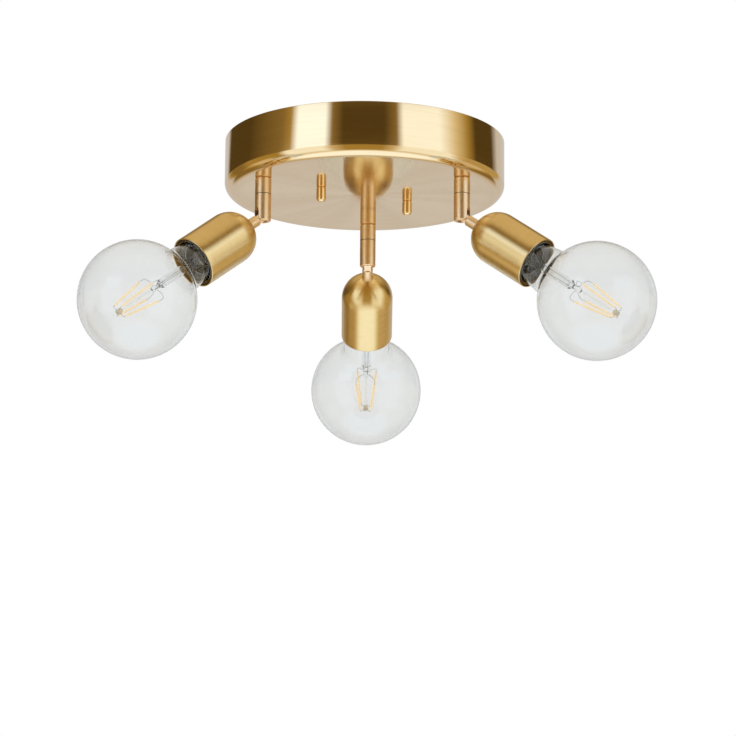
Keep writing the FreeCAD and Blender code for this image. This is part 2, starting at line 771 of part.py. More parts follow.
def stem_collar(arm, frames):
    # Fixed top of the stem: threaded nipple, socket for the swivel and its stop lug
    body = new_body(f"{arm}_stem_collar", frames["collar"])
    groove = "socket_radius + ring_radius + groove_clearance"
    profile = draw(body, f"{arm}_collar_profile", "XZ_Plane", [
        ("bore_radius", "nipple_top"),
        ("bore_radius", "-collar_roof"),
        ("socket_radius", "-collar_roof"),
        ("socket_radius", "ring_level + groove_half"),
        (groove, "ring_level + groove_half"),
        (groove, "ring_level - groove_half"),
        ("socket_radius", "ring_level - groove_half"),
        ("socket_radius", "-collar_height"),
        ("stem_radius", "-collar_height"),
        ("stem_radius", "-collar_chamfer"),
        ("stem_radius - collar_chamfer", "0"),
        ("nipple_radius", "0"),
        ("nipple_radius", "nipple_top"),
    ])
    revolve(body, profile)
    sector = ring_sector("bore_radius", "(socket_radius + hole_clearance)", "180", "stop_lug_angle")
    lug = draw(body, f"{arm}_stop_lug", "XY_Plane", sector, level="-collar_roof")
    pad(body, lug, "stop_height", down=True)


def swivel_washer(arm, frames):
    body = new_body(f"{arm}_swivel_washer", frames["stem"])
    outline = draw_circles(body, f"{arm}_washer_outline", "XY_Plane", [
        ("0", "0", "stem_radius - swivel_washer_inset"),
        ("0", "0", "socket_radius + hole_clearance"),
    ], level="barrel_top")
    pad(body, outline, "swivel_washer_thickness - running_clearance")


def swivel_ring(arm, frames):
    # Open snap ring in the groove that the spigot and its socket share
    body = new_body(f"{arm}_swivel_ring", frames["stem"])
    wire = draw_circles(body, f"{arm}_ring_wire", "XZ_Plane", [
        ("spigot_radius", "ring_level", "ring_radius"),
    ])
    revolve(body, wire, angle="360 - ring_gap_angle")


def swivel_barrel(arm, frames):
    # Turning half of the stem: spigot and stop tab above, slot for the tilting tongue below
    body = new_body(f"{arm}_swivel_barrel", frames["stem"])
    groove = "spigot_radius - ring_radius - groove_clearance"
    profile = draw(body, f"{arm}_barrel_profile", "XZ_Plane", [
        ("bore_radius", "spigot_top"),
        ("bore_radius", "barrel_low"),
        ("stem_radius - barrel_round", "barrel_low", "barrel_round", 1),
        ("stem_radius", "barrel_low + barrel_round"),
        ("stem_radius", "barrel_top"),
        ("spigot_radius", "barrel_top"),
        ("spigot_radius", "ring_level - groove_half"),
        (groove, "ring_level - groove_half"),
        (groove, "ring_level + groove_half"),
        ("spigot_radius", "ring_level + groove_half"),
        ("spigot_radius", "spigot_top"),
    ])
    revolve(body, profile)
    sector = ring_sector("bore_radius", "spigot_radius", "0", "stop_tab_angle")
    tab = draw(body, f"{arm}_stop_tab", "XY_Plane", sector, level="spigot_top")
    pad(body, tab, "stop_height")
    arch = "slot_rise - slot_width / 2 - pin_drop"
    slot = draw(body, f"{arm}_tilt_slot", "YZ_Plane", [
        ("-slot_width / 2", "barrel_low - barrel_tail"),
        ("slot_width / 2", "barrel_low - barrel_tail"),
        ("slot_width / 2", arch, "slot_width / 2", 1),
        ("0", "slot_rise - pin_drop", "slot_width / 2", 1),
        ("-slot_width / 2", arch),
    ], level="slot_back")
    pocket(body, slot, "stem_diameter", forward=True)
    hole = draw_circles(body, f"{arm}_pin_hole", "XZ_Plane", [
        ("0", "-pin_drop", "pin_diameter / 2 + thread_clearance"),
    ])
    pocket(body, hole, "2 * stem_diameter", symmetric=True)


def tilt_pin(arm, frames):
    body = new_body(f"{arm}_tilt_pin", frames["stem"])
    outline = draw_circles(body, f"{arm}_pin_outline", "XZ_Plane", [("0", "-pin_drop", "pin_diameter / 2")])
    pad(body, outline, "stem_diameter - 2 * pin_inset", symmetric=True)


def tilt_finger(arm, frames):
    # Round post with a flat tongue that turns on the pin, and a thread for the cup
    body = new_body(f"{arm}_tilt_finger", frames["head"])
    thread_end = "-(seat_inside + finger_thread_length)"
    bore_end = "-(finger_shoulder + finger_bore_roof)"
    profile = draw(body, f"{arm}_finger_profile", "XZ_Plane", [
        ("0", "-finger_shoulder"),
        ("0", bore_end),
        ("finger_bore_diameter / 2", bore_end),
        ("finger_bore_diameter / 2", thread_end),
        ("thread_radius", thread_end),
        ("thread_radius", "-cup_seat"),
        ("finger_radius", "-cup_seat"),
        ("finger_radius", "-(finger_shoulder + finger_round)", "finger_round", 1),
        ("finger_radius - finger_round", "-finger_shoulder"),
    ])
    revolve(body, profile)
    root = "-(finger_shoulder + finger_round)"
    tongue = draw(body, f"{arm}_tongue", "XZ_Plane", [
        ("-eye_radius", root),
        ("eye_radius", root),
        ("eye_radius", "0", "eye_radius", 1),
        ("0", "eye_radius", "eye_radius", 1),
        ("-eye_radius", "0"),
    ])
    pad(body, tongue, "tongue_thickness", symmetric=True)
    eye = draw_circles(body, f"{arm}_eye", "XZ_Plane", [("0", "0", "pin_diameter / 2 + running_clearance")])
    pocket(body, eye, "2 * stem_diameter", symmetric=True)


def socket_cup(arm, frames):
    # Spun cup: flat seat, round dome, straight side and a rounded rim
    body = new_body(f"{arm}_socket_cup", frames["head"])
    hole = "thread_radius + hole_clearance"
    lip = "cup_wall / 2"
    profile = draw(body, f"{arm}_cup_profile", "XZ_Plane", [
        (hole, "-cup_seat"),
        ("cup_seat_radius", "-cup_seat", "cup_radius", -1),
        ("cup_radius", "-dome_centre"),
        ("cup_radius", f"{lip} - cup_rim", lip, -1),
        (f"cup_radius - {lip}", "-cup_rim", lip, -1),
        ("cup_inside", f"{lip} - cup_rim"),
        ("cup_inside", "-dome_centre", "cup_inside", 1),
        ("seat_inside_radius", "-seat_inside"),
        (hole, "-seat_inside"),
    ])
    revolve(body, profile)


def lamp_holder(arm, frames):
    # Moulded holder: boss on the finger's thread, cone, and a skirt that ends just inside the cup's rim
    body = new_body(f"{arm}_lamp_holder", frames["head"])
    bore = "thread_radius + thread_clearance"
    floor_back = "holder_floor_thickness - holder_floor"
    ledge = "-(mouth - holder_ledge_depth)"
    rounding = "holder_edge_round"
    profile = draw(body, f"{arm}_holder_profile", "XZ_Plane", [
        ("0", floor_back),
        (bore, floor_back),
        (bore, "-seat_inside"),
        ("boss_radius", "-seat_inside"),
        ("boss_radius", "-boss_end"),
        ("skirt_radius", "-cone_end"),
        ("skirt_radius", f"{rounding} - mouth", rounding, -1),
        (f"skirt_radius - {rounding}", "-mouth"),
        ("mouth_radius", "-mouth"),
        ("mouth_radius", ledge),
        ("holder_bore", ledge),
        ("holder_bore", "-holder_floor"),
        ("0", "-holder_floor"),
    ])
    revolve(body, profile)


def holder_shell(arm, frames):
    # Metal sleeve that takes the bulb's cap
    body = new_body(f"{arm}_holder_shell", frames["head"])
    outline = draw_circles(body, f"{arm}_shell_outline", "XY_Plane", [
        ("0", "0", "shell_outside"),
        ("0", "0", "shell_inside"),
    ], level="-holder_floor")
    pad(body, outline, "shell_length", down=True)


def holder_contact(arm, frames):
    # Bent spring strip: foot on the holder's floor, raised end on the bulb's tip
    body = new_body(f"{arm}_holder_contact", frames["head"])
    strip = "contact_strip"
    rise = "contact_foot / 2"
    strip_profile = draw(body, f"{arm}_contact_profile", "XZ_Plane", [
        ("-contact_foot", "-holder_floor"),
        (f"-contact_foot + {rise}", "-holder_floor"),
        (f"-contact_foot + {rise} + contact_height", f"{strip} - bulb_tip"),
        ("tip_radius", f"{strip} - bulb_tip"),
        ("tip_radius", "-bulb_tip"),
        (f"-contact_foot + {rise} + contact_height - {strip}", "-bulb_tip"),
        (f"-contact_foot + {rise} - {strip}", f"-holder_floor - {strip}"),
        ("-contact_foot", f"-holder_floor - {strip}"),
    ])
    pad(body, strip_profile, "contact_width", symmetric=True)


def bulb_cap(arm, frames):
    # Thin metal screw cap, tapered at its end
    body = new_body(f"{arm}_bulb_cap", frames["bulb"])
    profile = draw(body, f"{arm}_cap_profile", "XZ_Plane", [
        ("cap_end_radius - cap_wall", "-cap_taper"),
        ("cap_end_radius", "-cap_taper"),
        ("cap_radius", "-cap_shoulder"),
        ("cap_radius", "-cap_rim"),
        ("cap_radius - cap_wall", "-cap_rim"),
        ("cap_radius - cap_wall", "-cap_shoulder"),
    ])
    revolve(body, profile)


def bulb_insulator(arm, frames):
    # Insulating end of the cap with the tip that meets the spring contact
    body = new_body(f"{arm}_bulb_insulator", frames["bulb"])
    side = "cap_end_radius - cap_wall - groove_clearance"
    profile = draw(body, f"{arm}_insulator_profile", "XZ_Plane", [
        ("0", "-bulb_tip"),
        ("tip_radius", "-bulb_tip"),
        ("tip_radius", "-(bulb_tip + tip_height)"),
        (side, "-cap_taper"),
        (side, "-(cap_taper + tip_height)"),
        ("0", "-(cap_taper + tip_height)"),
    ])
    revolve(body, profile)


def glass_profile(body, name, inset, top):
    # Outline of the bulb at this inset from its outer face, from the open neck to the pole.
    # The neck's shoulder, its flare, the blend and the globe run into each other smoothly.
    sketch = new_sketch(body, name, "XZ_Plane")
    shoulder = f"(neck_shoulder - {inset})"
    blend = f"(neck_blend_radius + {inset})"
    globe = f"(globe_radius - {inset})"
    neck = f"neck_inside - {inset}"
    corner = f"sqrt({shoulder} ^ 2 - {inset} ^ 2) - neck_shoulder - cap_rim"
    flare = math.radians(value("neck_flare_angle"))
    along = FreeCAD.Vector(math.sin(flare), -math.cos(flare), 0)
    aside = FreeCAD.Vector(math.cos(flare), math.sin(flare), 0)
    globe_middle = FreeCAD.Vector(0, -value("globe_centre"), 0)
    shoulder_middle = FreeCAD.Vector(value("neck_inside"), -value("cap_rim + neck_shoulder"), 0)
    line_start = shoulder_middle + aside * value(shoulder)
    probe = line_start + aside * value(blend) - globe_middle
    reach = probe.dot(along)
    span = value(f"{globe} + {blend}")
    line_end = line_start - along * (reach + math.sqrt(reach ** 2 - probe.Length ** 2 + span ** 2))
    blend_middle = line_end + aside * value(blend)
    globe_start = globe_middle + (blend_middle - globe_middle) * (value(globe) / span)
    pole = globe_middle - FreeCAD.Vector(0, value(globe), 0)
    neck_top = FreeCAD.Vector(value(neck), value(top), 0)
    neck_low = FreeCAD.Vector(value(neck), value(corner), 0)
    edges = [
        Part.LineSegment(pole, FreeCAD.Vector(0, neck_top.y, 0)),
        Part.LineSegment(FreeCAD.Vector(0, neck_top.y, 0), neck_top),
        Part.LineSegment(neck_top, neck_low),
        arc_between(neck_low, line_start, value(shoulder), -1),
        Part.LineSegment(line_start, line_end),
        arc_between(line_end, globe_start, value(blend), 1),
        arc_between(globe_start, pole, value(globe), -1),
    ]
    for edge in edges:
        sketch.addGeometry(edge)
    for join in [(0, 2, 1, 1), (1, 2, 2, 1), (2, 2, 3, 2), (6, 1, 0, 1)]:
        sketch.addConstraint(Sketcher.Constraint("Coincident", *join))
    for join in [(3, 1, 4, 1), (4, 2, 5, 1), (5, 2, 6, 2)]:
        sketch.addConstraint(Sketcher.Constraint("Tangent", *join))
    pin_point(sketch, 0, 2, "0", top)
    pin_point(sketch, 1, 2, neck, top)
    pin_point(sketch, 3, 3, "neck_inside", "-cap_rim - neck_shoulder")
    bind(sketch, "DistanceX", (-1, 1, 2, 2), neck)
    pin_point(sketch, 6, 3, "0", "-globe_centre")
    bind(sketch, "DistanceX", (-1, 1, 0, 1), "0")
    for edge, radius in [(3, shoulder), (5, blend), (6, globe)]:
        bind(sketch, "Radius", (edge,), radius)
    lean = sketch.addConstraint(Sketcher.Constraint("Angle", 4, flare - math.pi / 2))
    sketch.setExpression(f"Constraints[{lean}]", expand("neck_flare_angle - 90"))
    return sketch


def bulb_glass(arm, frames):
    # Clear globe with an even wall, open at the end of its neck inside the cap
    body = new_body(f"{arm}_bulb_glass", frames["bulb"])
    neck_end = "neck_end_depth - cap_rim"
    outside = revolve(body, glass_profile(body, f"{arm}_glass_outside", "0", neck_end))
    doc.recompute()
    inside = glass_profile(body, f"{arm}_glass_inside", "glass_wall", f"{neck_end} + glass_wall")
    hollow = body.newObject("PartDesign::Groove", f"{arm}_glass_hollow")
    hollow.Profile = inside
    hollow.ReferenceAxis = (origin_feature(body, "Z_Axis"), [""])
    hollow.Angle = 360
    doc.recompute()
    if not hollow.Shape.Volume < outside.Shape.Volume:
        raise RuntimeError(f"{body.Name}: the hollow cuts nothing")


def filament_mount(arm, frames):
    # Glass stem of the bulb: flared foot, round post, bead, thin rod and hub
    body = new_body(f"{arm}_filament_mount", frames["bulb"])
    waist_gap = "(mount_bead_radius + mount_waist_radius)"
    rod_end = "hub_place - hub_length / 2"
    profile = draw(body, f"{arm}_mount_profile", "XZ_Plane", [
        ("foot_radius - mount_wall", "-mount_foot"),
        ("foot_radius", "-mount_foot"),
        ("mount_radius", "-mount_neck"),
        ("mount_radius", f"-(bead_place - {waist_gap} - mount_radius)"),
        ("mount_waist_radius", f"-(bead_place - {waist_gap})"),
        ("mount_waist_radius", "-(bead_place - mount_bead_radius)", "bead_curve", -1),
        ("mount_waist_radius", "-(bead_place + mount_bead_radius)"),
        ("rod_radius", "-(bead_place + mount_bead_radius)"),
        ("rod_radius", f"-({rod_end})"),
        ("hub_radius", f"-({rod_end})"),
        ("hub_radius", f"-({rod_end} + hub_length)"),
        ("0", f"-({rod_end} + hub_length)"),
        ("0", "-mount_neck"),
        ("mount_radius - mount_wall", "-mount_neck"),
    ])
    revolve(body, profile)


def filaments(arm, frames):
    # Four straight sticks that lean in towards the hub
    body = new_body(f"{arm}_filaments", frames["bulb"])
    foot = ("filament_foot_radius", "-filament_foot")
    head = ("filament_head_radius", "-filament_head")
    stick = rod(body, f"{arm}_filament", foot, head, "filament_radius")
    repeat_round(body, [stick], 4)


def filament_wires(arm, frames):
    # A wire from the bead to the foot of each filament, and one from the hub to its head
    body = new_body(f"{arm}_filament_wires", frames["bulb"])
    low_start = ("mount_bead_radius + wire_gap", "-bead_place")
    low_end = ("filament_foot_radius", "-(filament_foot - wire_diameter - wire_gap)")
    high_start = ("hub_radius + wire_gap", "-hub_place")
    high_end = ("filament_head_radius - filament_radius - wire_gap", "-hub_place")
    low = rod(body, f"{arm}_foot_wire", low_start, low_end, "wire_diameter / 2")
    high = rod(body, f"{arm}_head_wire", high_start, high_end, "wire_diameter / 2")
    repeat_round(body, [low, high], 4)


fixed_pieces = [
    canopy_pan, mounting_bracket, bracket_studs, bracket_nuts, cap_nuts, earth_screw, terminal_block,
    terminal_screws, terminal_fixing, stem_lock_nuts, stem_lock_washers, arm_leads,
]
arm_pieces = [
    stem_collar, swivel_washer, swivel_ring, swivel_barrel, tilt_pin, tilt_finger, socket_cup, lamp_holder,
    holder_shell, holder_contact, bulb_cap, bulb_insulator, bulb_glass, filament_mount, filaments,
    filament_wires,
]
for make in fixed_pieces:
    make()
for arm_name in arms:
    arm_places = arm_frames(arm_name)
    for make in arm_pieces:
        make(arm_name, arm_places)
doc.recompute()

for item in doc.Objects:
    if "Invalid" in item.State or "Error" in item.State:
        raise RuntimeError(f"{item.Name} failed: {item.State}")
for node in nodes:
    if node.Shape.isNull() or not node.Shape.isValid() or not node.Shape.Solids:
        raise RuntimeError(f"{node.Label} has no valid solid")

os.makedirs("parts", exist_ok=True)
for node in nodes:
    node.Shape.exportStep(f"parts/{node.Label}.step")
    print(f"{node.Label}: {len(node.Shape.Solids)} solids, {node.Shape.Volume:.1f} mm3")
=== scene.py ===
import json
import math
import bpy
import numpy as np
from mathutils import Matrix, Vector


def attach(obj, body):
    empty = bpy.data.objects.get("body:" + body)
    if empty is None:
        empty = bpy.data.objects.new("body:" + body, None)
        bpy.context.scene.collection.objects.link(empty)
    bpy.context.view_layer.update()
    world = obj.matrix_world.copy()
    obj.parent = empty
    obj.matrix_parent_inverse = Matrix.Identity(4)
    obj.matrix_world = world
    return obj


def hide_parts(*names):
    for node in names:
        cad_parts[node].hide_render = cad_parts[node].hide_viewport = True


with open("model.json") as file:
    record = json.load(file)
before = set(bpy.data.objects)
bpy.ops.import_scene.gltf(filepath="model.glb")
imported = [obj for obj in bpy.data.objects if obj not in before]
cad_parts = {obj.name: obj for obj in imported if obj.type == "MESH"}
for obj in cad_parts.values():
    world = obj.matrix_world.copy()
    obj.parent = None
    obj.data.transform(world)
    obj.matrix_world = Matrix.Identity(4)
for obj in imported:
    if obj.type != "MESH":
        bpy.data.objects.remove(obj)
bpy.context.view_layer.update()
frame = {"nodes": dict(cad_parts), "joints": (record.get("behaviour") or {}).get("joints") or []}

nodes = frame["nodes"]
hinges = {joint["name"]: joint for joint in frame["joints"]}
armNames = ["rear", "front_left", "front_right"]
mm = 0.001
print("stage: frame loaded,", len(nodes), "nodes")


# Node helpers

def addNode(tree, kind, **settings):
    node = tree.nodes.new(kind)
    for key, setting in settings.items():
        setattr(node, key, setting)
    return node


def join(tree, *pairs):
    for source, target in pairs:
        tree.links.new(source, target)


def mathNode(tree, operation, *terms):
    node = addNode(tree, "ShaderNodeMath", operation=operation)
    for socket, term in zip(node.inputs, terms):
        if isinstance(term, (int, float)):
            socket.default_value = term
        else:
            tree.links.new(term, socket)
    return node.outputs[0]


def rampNode(tree, fac, stops):
    node = addNode(tree, "ShaderNodeValToRGB")
    elements = node.color_ramp.elements
    while len(elements) < len(stops):
        elements.new(0.5)
    for element, (place, colour) in zip(elements, stops):
        element.position = place
        element.color = (*colour, 1)
    tree.links.new(fac, node.inputs[0])
    return node.outputs[0]


def mixNode(tree, fac, first, second):
    # Blend of two colours, each a plain colour or a socket
    node = addNode(tree, "ShaderNodeMix", data_type="RGBA")
    sockets = (node.inputs[0], node.inputs[6], node.inputs[7])
    for socket, term in zip(sockets, (fac, first, second)):
        if isinstance(term, tuple):
            socket.default_value = (*term, 1)
        else:
            tree.links.new(term, socket)
    return node.outputs[2]


def rangeNode(tree, fac, low, high, start=0.3, end=0.7):
    # Number from low to high as fac goes from start to end, by default the span of a noise
    node = addNode(tree, "ShaderNodeMapRange", clamp=True)
    limits = {"From Min": start, "From Max": end, "To Min": low, "To Max": high}
    for label, limit in limits.items():
        node.inputs[label].default_value = limit
    join(tree, (fac, node.inputs["Value"]))
    return node.outputs[0]


def newGroup(name, inputs, outputs):
    group = bpy.data.node_groups.new(name, "ShaderNodeTree")
    for side, sockets in (("INPUT", inputs), ("OUTPUT", outputs)):
        for label, kind in sockets:
            group.interface.new_socket(name=label, in_out=side, socket_type="NodeSocket" + kind)
    return group, addNode(group, "NodeGroupInput"), addNode(group, "NodeGroupOutput")


def useGroup(tree, group, **values):
    node = addNode(tree, "ShaderNodeGroup", node_tree=group)
    for label, setting in values.items():
        node.inputs[label].default_value = setting
    return node


def newMaterial(name, **sockets):
    material = bpy.data.materials.new(name)
    material.use_nodes = True
    tree = material.node_tree
    shader = tree.nodes["Principled BSDF"]
    for label, setting in sockets.items():
        shader.inputs[label.replace("_", " ")].default_value = setting
    return material, tree, shader


# Shared effects

# Each output with its share of the fineness and its detail
grainLayers = [("Height", 1.0, 3.0), ("Tone", 0.3, 4.0)]
grainRoughness = 0.62
# Each output with the input that scales it and its detail
skinLayers = [("Height", "Pits", 2.0), ("Tone", "Clouds", 4.0)]


def makeTurningPlace():
    # Turns a lathe's UV (share of a turn, metres along the profile) into a seamless place
    group, start, end = newGroup("turningPlace", [("Turning", "Vector")], [("Place", "Vector")])
    parts = addNode(group, "ShaderNodeSeparateXYZ")
    whole = addNode(group, "ShaderNodeCombineXYZ")
    join(group, (start.outputs["Turning"], parts.inputs[0]))
    angle = mathNode(group, "MULTIPLY", parts.outputs["X"], 2 * math.pi)
    join(group, (mathNode(group, "COSINE", angle), whole.inputs["X"]),
         (mathNode(group, "SINE", angle), whole.inputs["Y"]),
         (parts.outputs["Y"], whole.inputs["Z"]), (whole.outputs[0], end.inputs["Place"]))
    return group


def makeBrushedGrain():
    # Fine lines round Z: noise that changes slowly round the axis and fast along it
    group, start, end = newGroup(
        "brushedGrain", [("Place", "Vector"), ("Stretch", "Float"), ("Fineness", "Float")],
        [("Height", "Float"), ("Tone", "Float")])
    parts = addNode(group, "ShaderNodeSeparateXYZ")
    join(group, (start.outputs["Place"], parts.inputs[0]))
    stretch = start.outputs["Stretch"]
    for output, share, detail in grainLayers:
        place = addNode(group, "ShaderNodeCombineXYZ")
        noise = addNode(group, "ShaderNodeTexNoise", noise_dimensions="3D")
        noise.inputs["Scale"].default_value = 1.0
        noise.inputs["Detail"].default_value = detail
        noise.inputs["Roughness"].default_value = grainRoughness
        fine = mathNode(group, "MULTIPLY", start.outputs["Fineness"], share)
        for axis, factor in (("X", stretch), ("Y", stretch), ("Z", fine)):
            scaled = mathNode(group, "MULTIPLY", parts.outputs[axis], factor)
            join(group, (scaled, place.inputs[axis]))
        join(group, (place.outputs[0], noise.inputs["Vector"]),
             (noise.outputs[0], end.inputs[output]))
    return group


def makeMouldedSkin():
    # Fine moulded or plated skin: small pits in Height and slow clouds in Tone
    group, start, end = newGroup(
        "mouldedSkin", [("Place", "Vector"), ("Pits", "Float"), ("Clouds", "Float")],
        [("Height", "Float"), ("Tone", "Float")])
    for output, scale, detail in skinLayers:
        noise = addNode(group, "ShaderNodeTexNoise", noise_dimensions="3D")
        noise.inputs["Detail"].default_value = detail
        join(group, (start.outputs["Place"], noise.inputs["Vector"]),
             (start.outputs[scale], noise.inputs["Scale"]), (noise.outputs[0], end.inputs[output]))
    return group


turningPlace = makeTurningPlace()
brushedGrain = makeBrushedGrain()
mouldedSkin = makeMouldedSkin()


def raiseSkin(tree, shader, height, depth):
    bump = addNode(tree, "ShaderNodeBump")
    bump.inputs["Distance"].default_value = depth
    join(tree, (height, bump.inputs["Height"]), (bump.outputs[0], shader.inputs["Normal"]))


def finishSkin(tree, shader, skin, look):
    # Colour and roughness follow the slow tone, the bump follows the fine height
    tone = skin.outputs["Tone"]
    colour = mixNode(tree, rangeNode(tree, tone, 0.0, 1.0), look["low"], look["high"])
    polish = rangeNode(tree, tone, *look["roughness"])
    join(tree, (colour, shader.inputs["Base Color"]), (polish, shader.inputs["Roughness"]))
    raiseSkin(tree, shader, skin.outputs["Height"], look["depth"])


# Materials

quarterTurn = 0.25
# Metres of one band of Blender's wave texture at a scale of 1
waveSpan = 0.3142


def brushedLathe(name, look):
    # Metal brushed round a lathe piece, by its own UV
    material, tree, shader = newMaterial(
        name, Metallic=1.0, Anisotropic=look["anisotropic"], Anisotropic_Rotation=quarterTurn)
    grain = useGroup(tree, brushedGrain, Stretch=look["stretch"], Fineness=look["fineness"])
    place = useGroup(tree, turningPlace)
    uv = addNode(tree, "ShaderNodeUVMap", uv_map="turning")
    tangent = addNode(tree, "ShaderNodeTangent", direction_type="UV_MAP", uv_map="turning")
    join(tree, (uv.outputs[0], place.inputs["Turning"]),
         (place.outputs["Place"], grain.inputs["Place"]),
         (tangent.outputs[0], shader.inputs["Tangent"]))
    finishSkin(tree, shader, grain, look)
    if "dull" in look:
        dressPan(tree, shader, look, uv.outputs[0], place.outputs["Place"])
    return material


def dressPan(tree, shader, look, turning, place):
    # Beyond its rim a pan is left unpolished, and wedges of painted sheen, lighter than the metal,
    # radiate from the middle of its plate
    parts = addNode(tree, "ShaderNodeSeparateXYZ")
    sheenWedges = addNode(tree, "ShaderNodeTexNoise", noise_dimensions="2D")
    sheenWedges.inputs["Scale"].default_value = look["sheenWedges"]
    join(tree, (turning, parts.inputs[0]), (place, sheenWedges.inputs["Vector"]))
    along = parts.outputs["Y"]
    inside = mathNode(tree, "GREATER_THAN", along, look["rim"])
    polish = shader.inputs["Roughness"].links[0].from_socket
    colour = shader.inputs["Base Color"].links[0].from_socket
    sheenShare = mathNode(tree, "MULTIPLY", rangeNode(tree, sheenWedges.outputs[0], 0.0, look["sheenDepth"]),
                      rangeNode(tree, along, 1.0, 0.0, *look["plate"]))
    dulled = mathNode(tree, "MULTIPLY_ADD", inside, look["dull"], polish)
    sheened = mixNode(tree, sheenShare, colour, look["sheenColour"])
    join(tree, (dulled, shader.inputs["Roughness"]),
         (mixNode(tree, inside, sheened, look["raw"]), shader.inputs["Base Color"]))


def turnedMetal(name, look, placement=Matrix()):
    # Metal turned round the Z axis of a placement, by its place in the frame
    material, tree, shader = newMaterial(name, Metallic=1.0)
    grain = useGroup(tree, brushedGrain, Stretch=look["stretch"], Fineness=look["fineness"])
    spot = addNode(tree, "ShaderNodeTexCoord")
    mapping = addNode(tree, "ShaderNodeMapping", vector_type="TEXTURE")
    mapping.inputs["Location"].default_value = placement.translation
    mapping.inputs["Rotation"].default_value = placement.to_euler("XYZ")
    join(tree, (spot.outputs["Object"], mapping.inputs["Vector"]),
         (mapping.outputs[0], grain.inputs["Place"]))
    finishSkin(tree, shader, grain, look)
    return material


def cloudedSkin(name, look, **sockets):
    # Plate, moulding or glass: pits and clouds by place in the frame
    material, tree, shader = newMaterial(name, **sockets)
    spot = addNode(tree, "ShaderNodeTexCoord")
    skin = useGroup(tree, mouldedSkin, Pits=look["pits"], Clouds=look["clouds"])
    join(tree, (spot.outputs["Object"], skin.inputs["Place"]))
    finishSkin(tree, shader, skin, look)
    return material


def threadedSteel(name, look):
    # Zinc plate with a screw thread as ridges along Z
    material = cloudedSkin(name, look, Metallic=1.0)
    tree = material.node_tree
    spot = addNode(tree, "ShaderNodeTexCoord")
    ridges = addNode(tree, "ShaderNodeTexWave", wave_type="BANDS", bands_direction="Z",
                     wave_profile="TRI")
    ridges.inputs["Scale"].default_value = waveSpan / look["pitch"]
    join(tree, (spot.outputs["Object"], ridges.inputs["Vector"]))
    raiseSkin(tree, tree.nodes["Principled BSDF"], ridges.outputs["Fac"], look["threadDepth"])
    return material


def clearGlass(name, look):
    # Blown glass: slow waves, a little absorption that shows along the edges
    material = cloudedSkin(name, look, Transmission_Weight=1.0, IOR=look["bend"])
    tree = material.node_tree
    haze = addNode(tree, "ShaderNodeVolumeAbsorption")
    haze.inputs["Color"].default_value = (*look["haze"], 1)
    haze.inputs["Density"].default_value = look["density"]
    join(tree, (haze.outputs[0], tree.nodes["Material Output"].inputs["Volume"]))
    return material


# Brushed and turned metals. Depths and the pan's places are in metres.
# On the pan, lighter wedges of tone over the plate are painted sheen, standing in for light caught
# along the circular brushing
canopyLook = dict(low=(0.83, 0.66, 0.41), high=(0.88, 0.71, 0.46), roughness=(0.06, 0.08),
                  anisotropic=0.95, stretch=2.2, fineness=1500.0, depth=0.0000002,
                  rim=0.1565, dull=0.36, raw=(0.70, 0.60, 0.42),
                  sheenWedges=2.6, sheenDepth=0.5, sheenColour=(0.98, 0.83, 0.58), plate=(0.098, 0.107))
cupLook = dict(low=(0.82, 0.632, 0.318), high=(0.87, 0.683, 0.37), roughness=(0.23, 0.265),
               anisotropic=0.9, stretch=2.0, fineness=1400.0, depth=0.0000003)
nutLook = dict(low=(0.88, 0.66, 0.36), high=(0.93, 0.71, 0.41), roughness=(0.08, 0.11),
               anisotropic=0.3, stretch=2.0, fineness=1600.0, depth=0.00000005)
capLook = dict(low=(0.72, 0.60, 0.45), high=(0.80, 0.69, 0.54), roughness=(0.20, 0.26),
               anisotropic=0.4, stretch=2.0, fineness=1500.0, depth=0.0000006)
stemLook = dict(low=(0.90, 0.68, 0.45), high=(0.94, 0.73, 0.50), roughness=(0.35, 0.40),
                stretch=90.0, fineness=1600.0, depth=0.0000001)
shellLook = dict(low=(0.66, 0.55, 0.34), high=(0.74, 0.63, 0.41), roughness=(0.29, 0.36),
                 stretch=120.0, fineness=1500.0, depth=0.000001)

# Plated, moulded and blown skins
steelLook = dict(low=(0.50, 0.51, 0.52), high=(0.64, 0.64, 0.63), roughness=(0.30, 0.42),
                 pits=2600.0, clouds=160.0, depth=0.000004, pitch=0.0007, threadDepth=0.00022)
wireLook = dict(steelLook, low=(0.62, 0.60, 0.57), high=(0.72, 0.70, 0.67))
ivoryLook = dict(low=(0.72, 0.69, 0.60), high=(0.79, 0.76, 0.68), roughness=(0.42, 0.50),
                 pits=2400.0, clouds=90.0, depth=0.000006)
blackLook = dict(low=(0.020, 0.013, 0.006), high=(0.034, 0.023, 0.010), roughness=(0.12, 0.18),
                 pits=1800.0, clouds=120.0, depth=0.0000001)
washerLook = dict(low=(0.016, 0.012, 0.009), high=(0.030, 0.024, 0.018), roughness=(0.5, 0.6),
                  pits=3000.0, clouds=300.0, depth=0.000004)
filamentLook = dict(low=(0.88, 0.69, 0.41), high=(0.94, 0.77, 0.50), roughness=(0.42, 0.55),
                    pits=2600.0, clouds=420.0, depth=0.00003)
sleeveLook = dict(low=(0.70, 0.68, 0.63), high=(0.80, 0.78, 0.73), roughness=(0.55, 0.65),
                  pits=1600.0, clouds=200.0, depth=0.00004)
bulbLook = dict(low=(0.955, 0.957, 0.952), high=(0.97, 0.972, 0.967), roughness=(0.0, 0.004),
                pits=22.0, clouds=14.0, depth=0.00006,
                bend=1.5, haze=(0.79, 0.82, 0.825), density=320.0)
mountLook = dict(low=(0.94, 0.95, 0.94), high=(0.97, 0.98, 0.97), roughness=(0.0, 0.01),
                 pits=160.0, clouds=120.0, depth=0.00005,
                 bend=1.5, haze=(0.88, 0.90, 0.89), density=25.0)

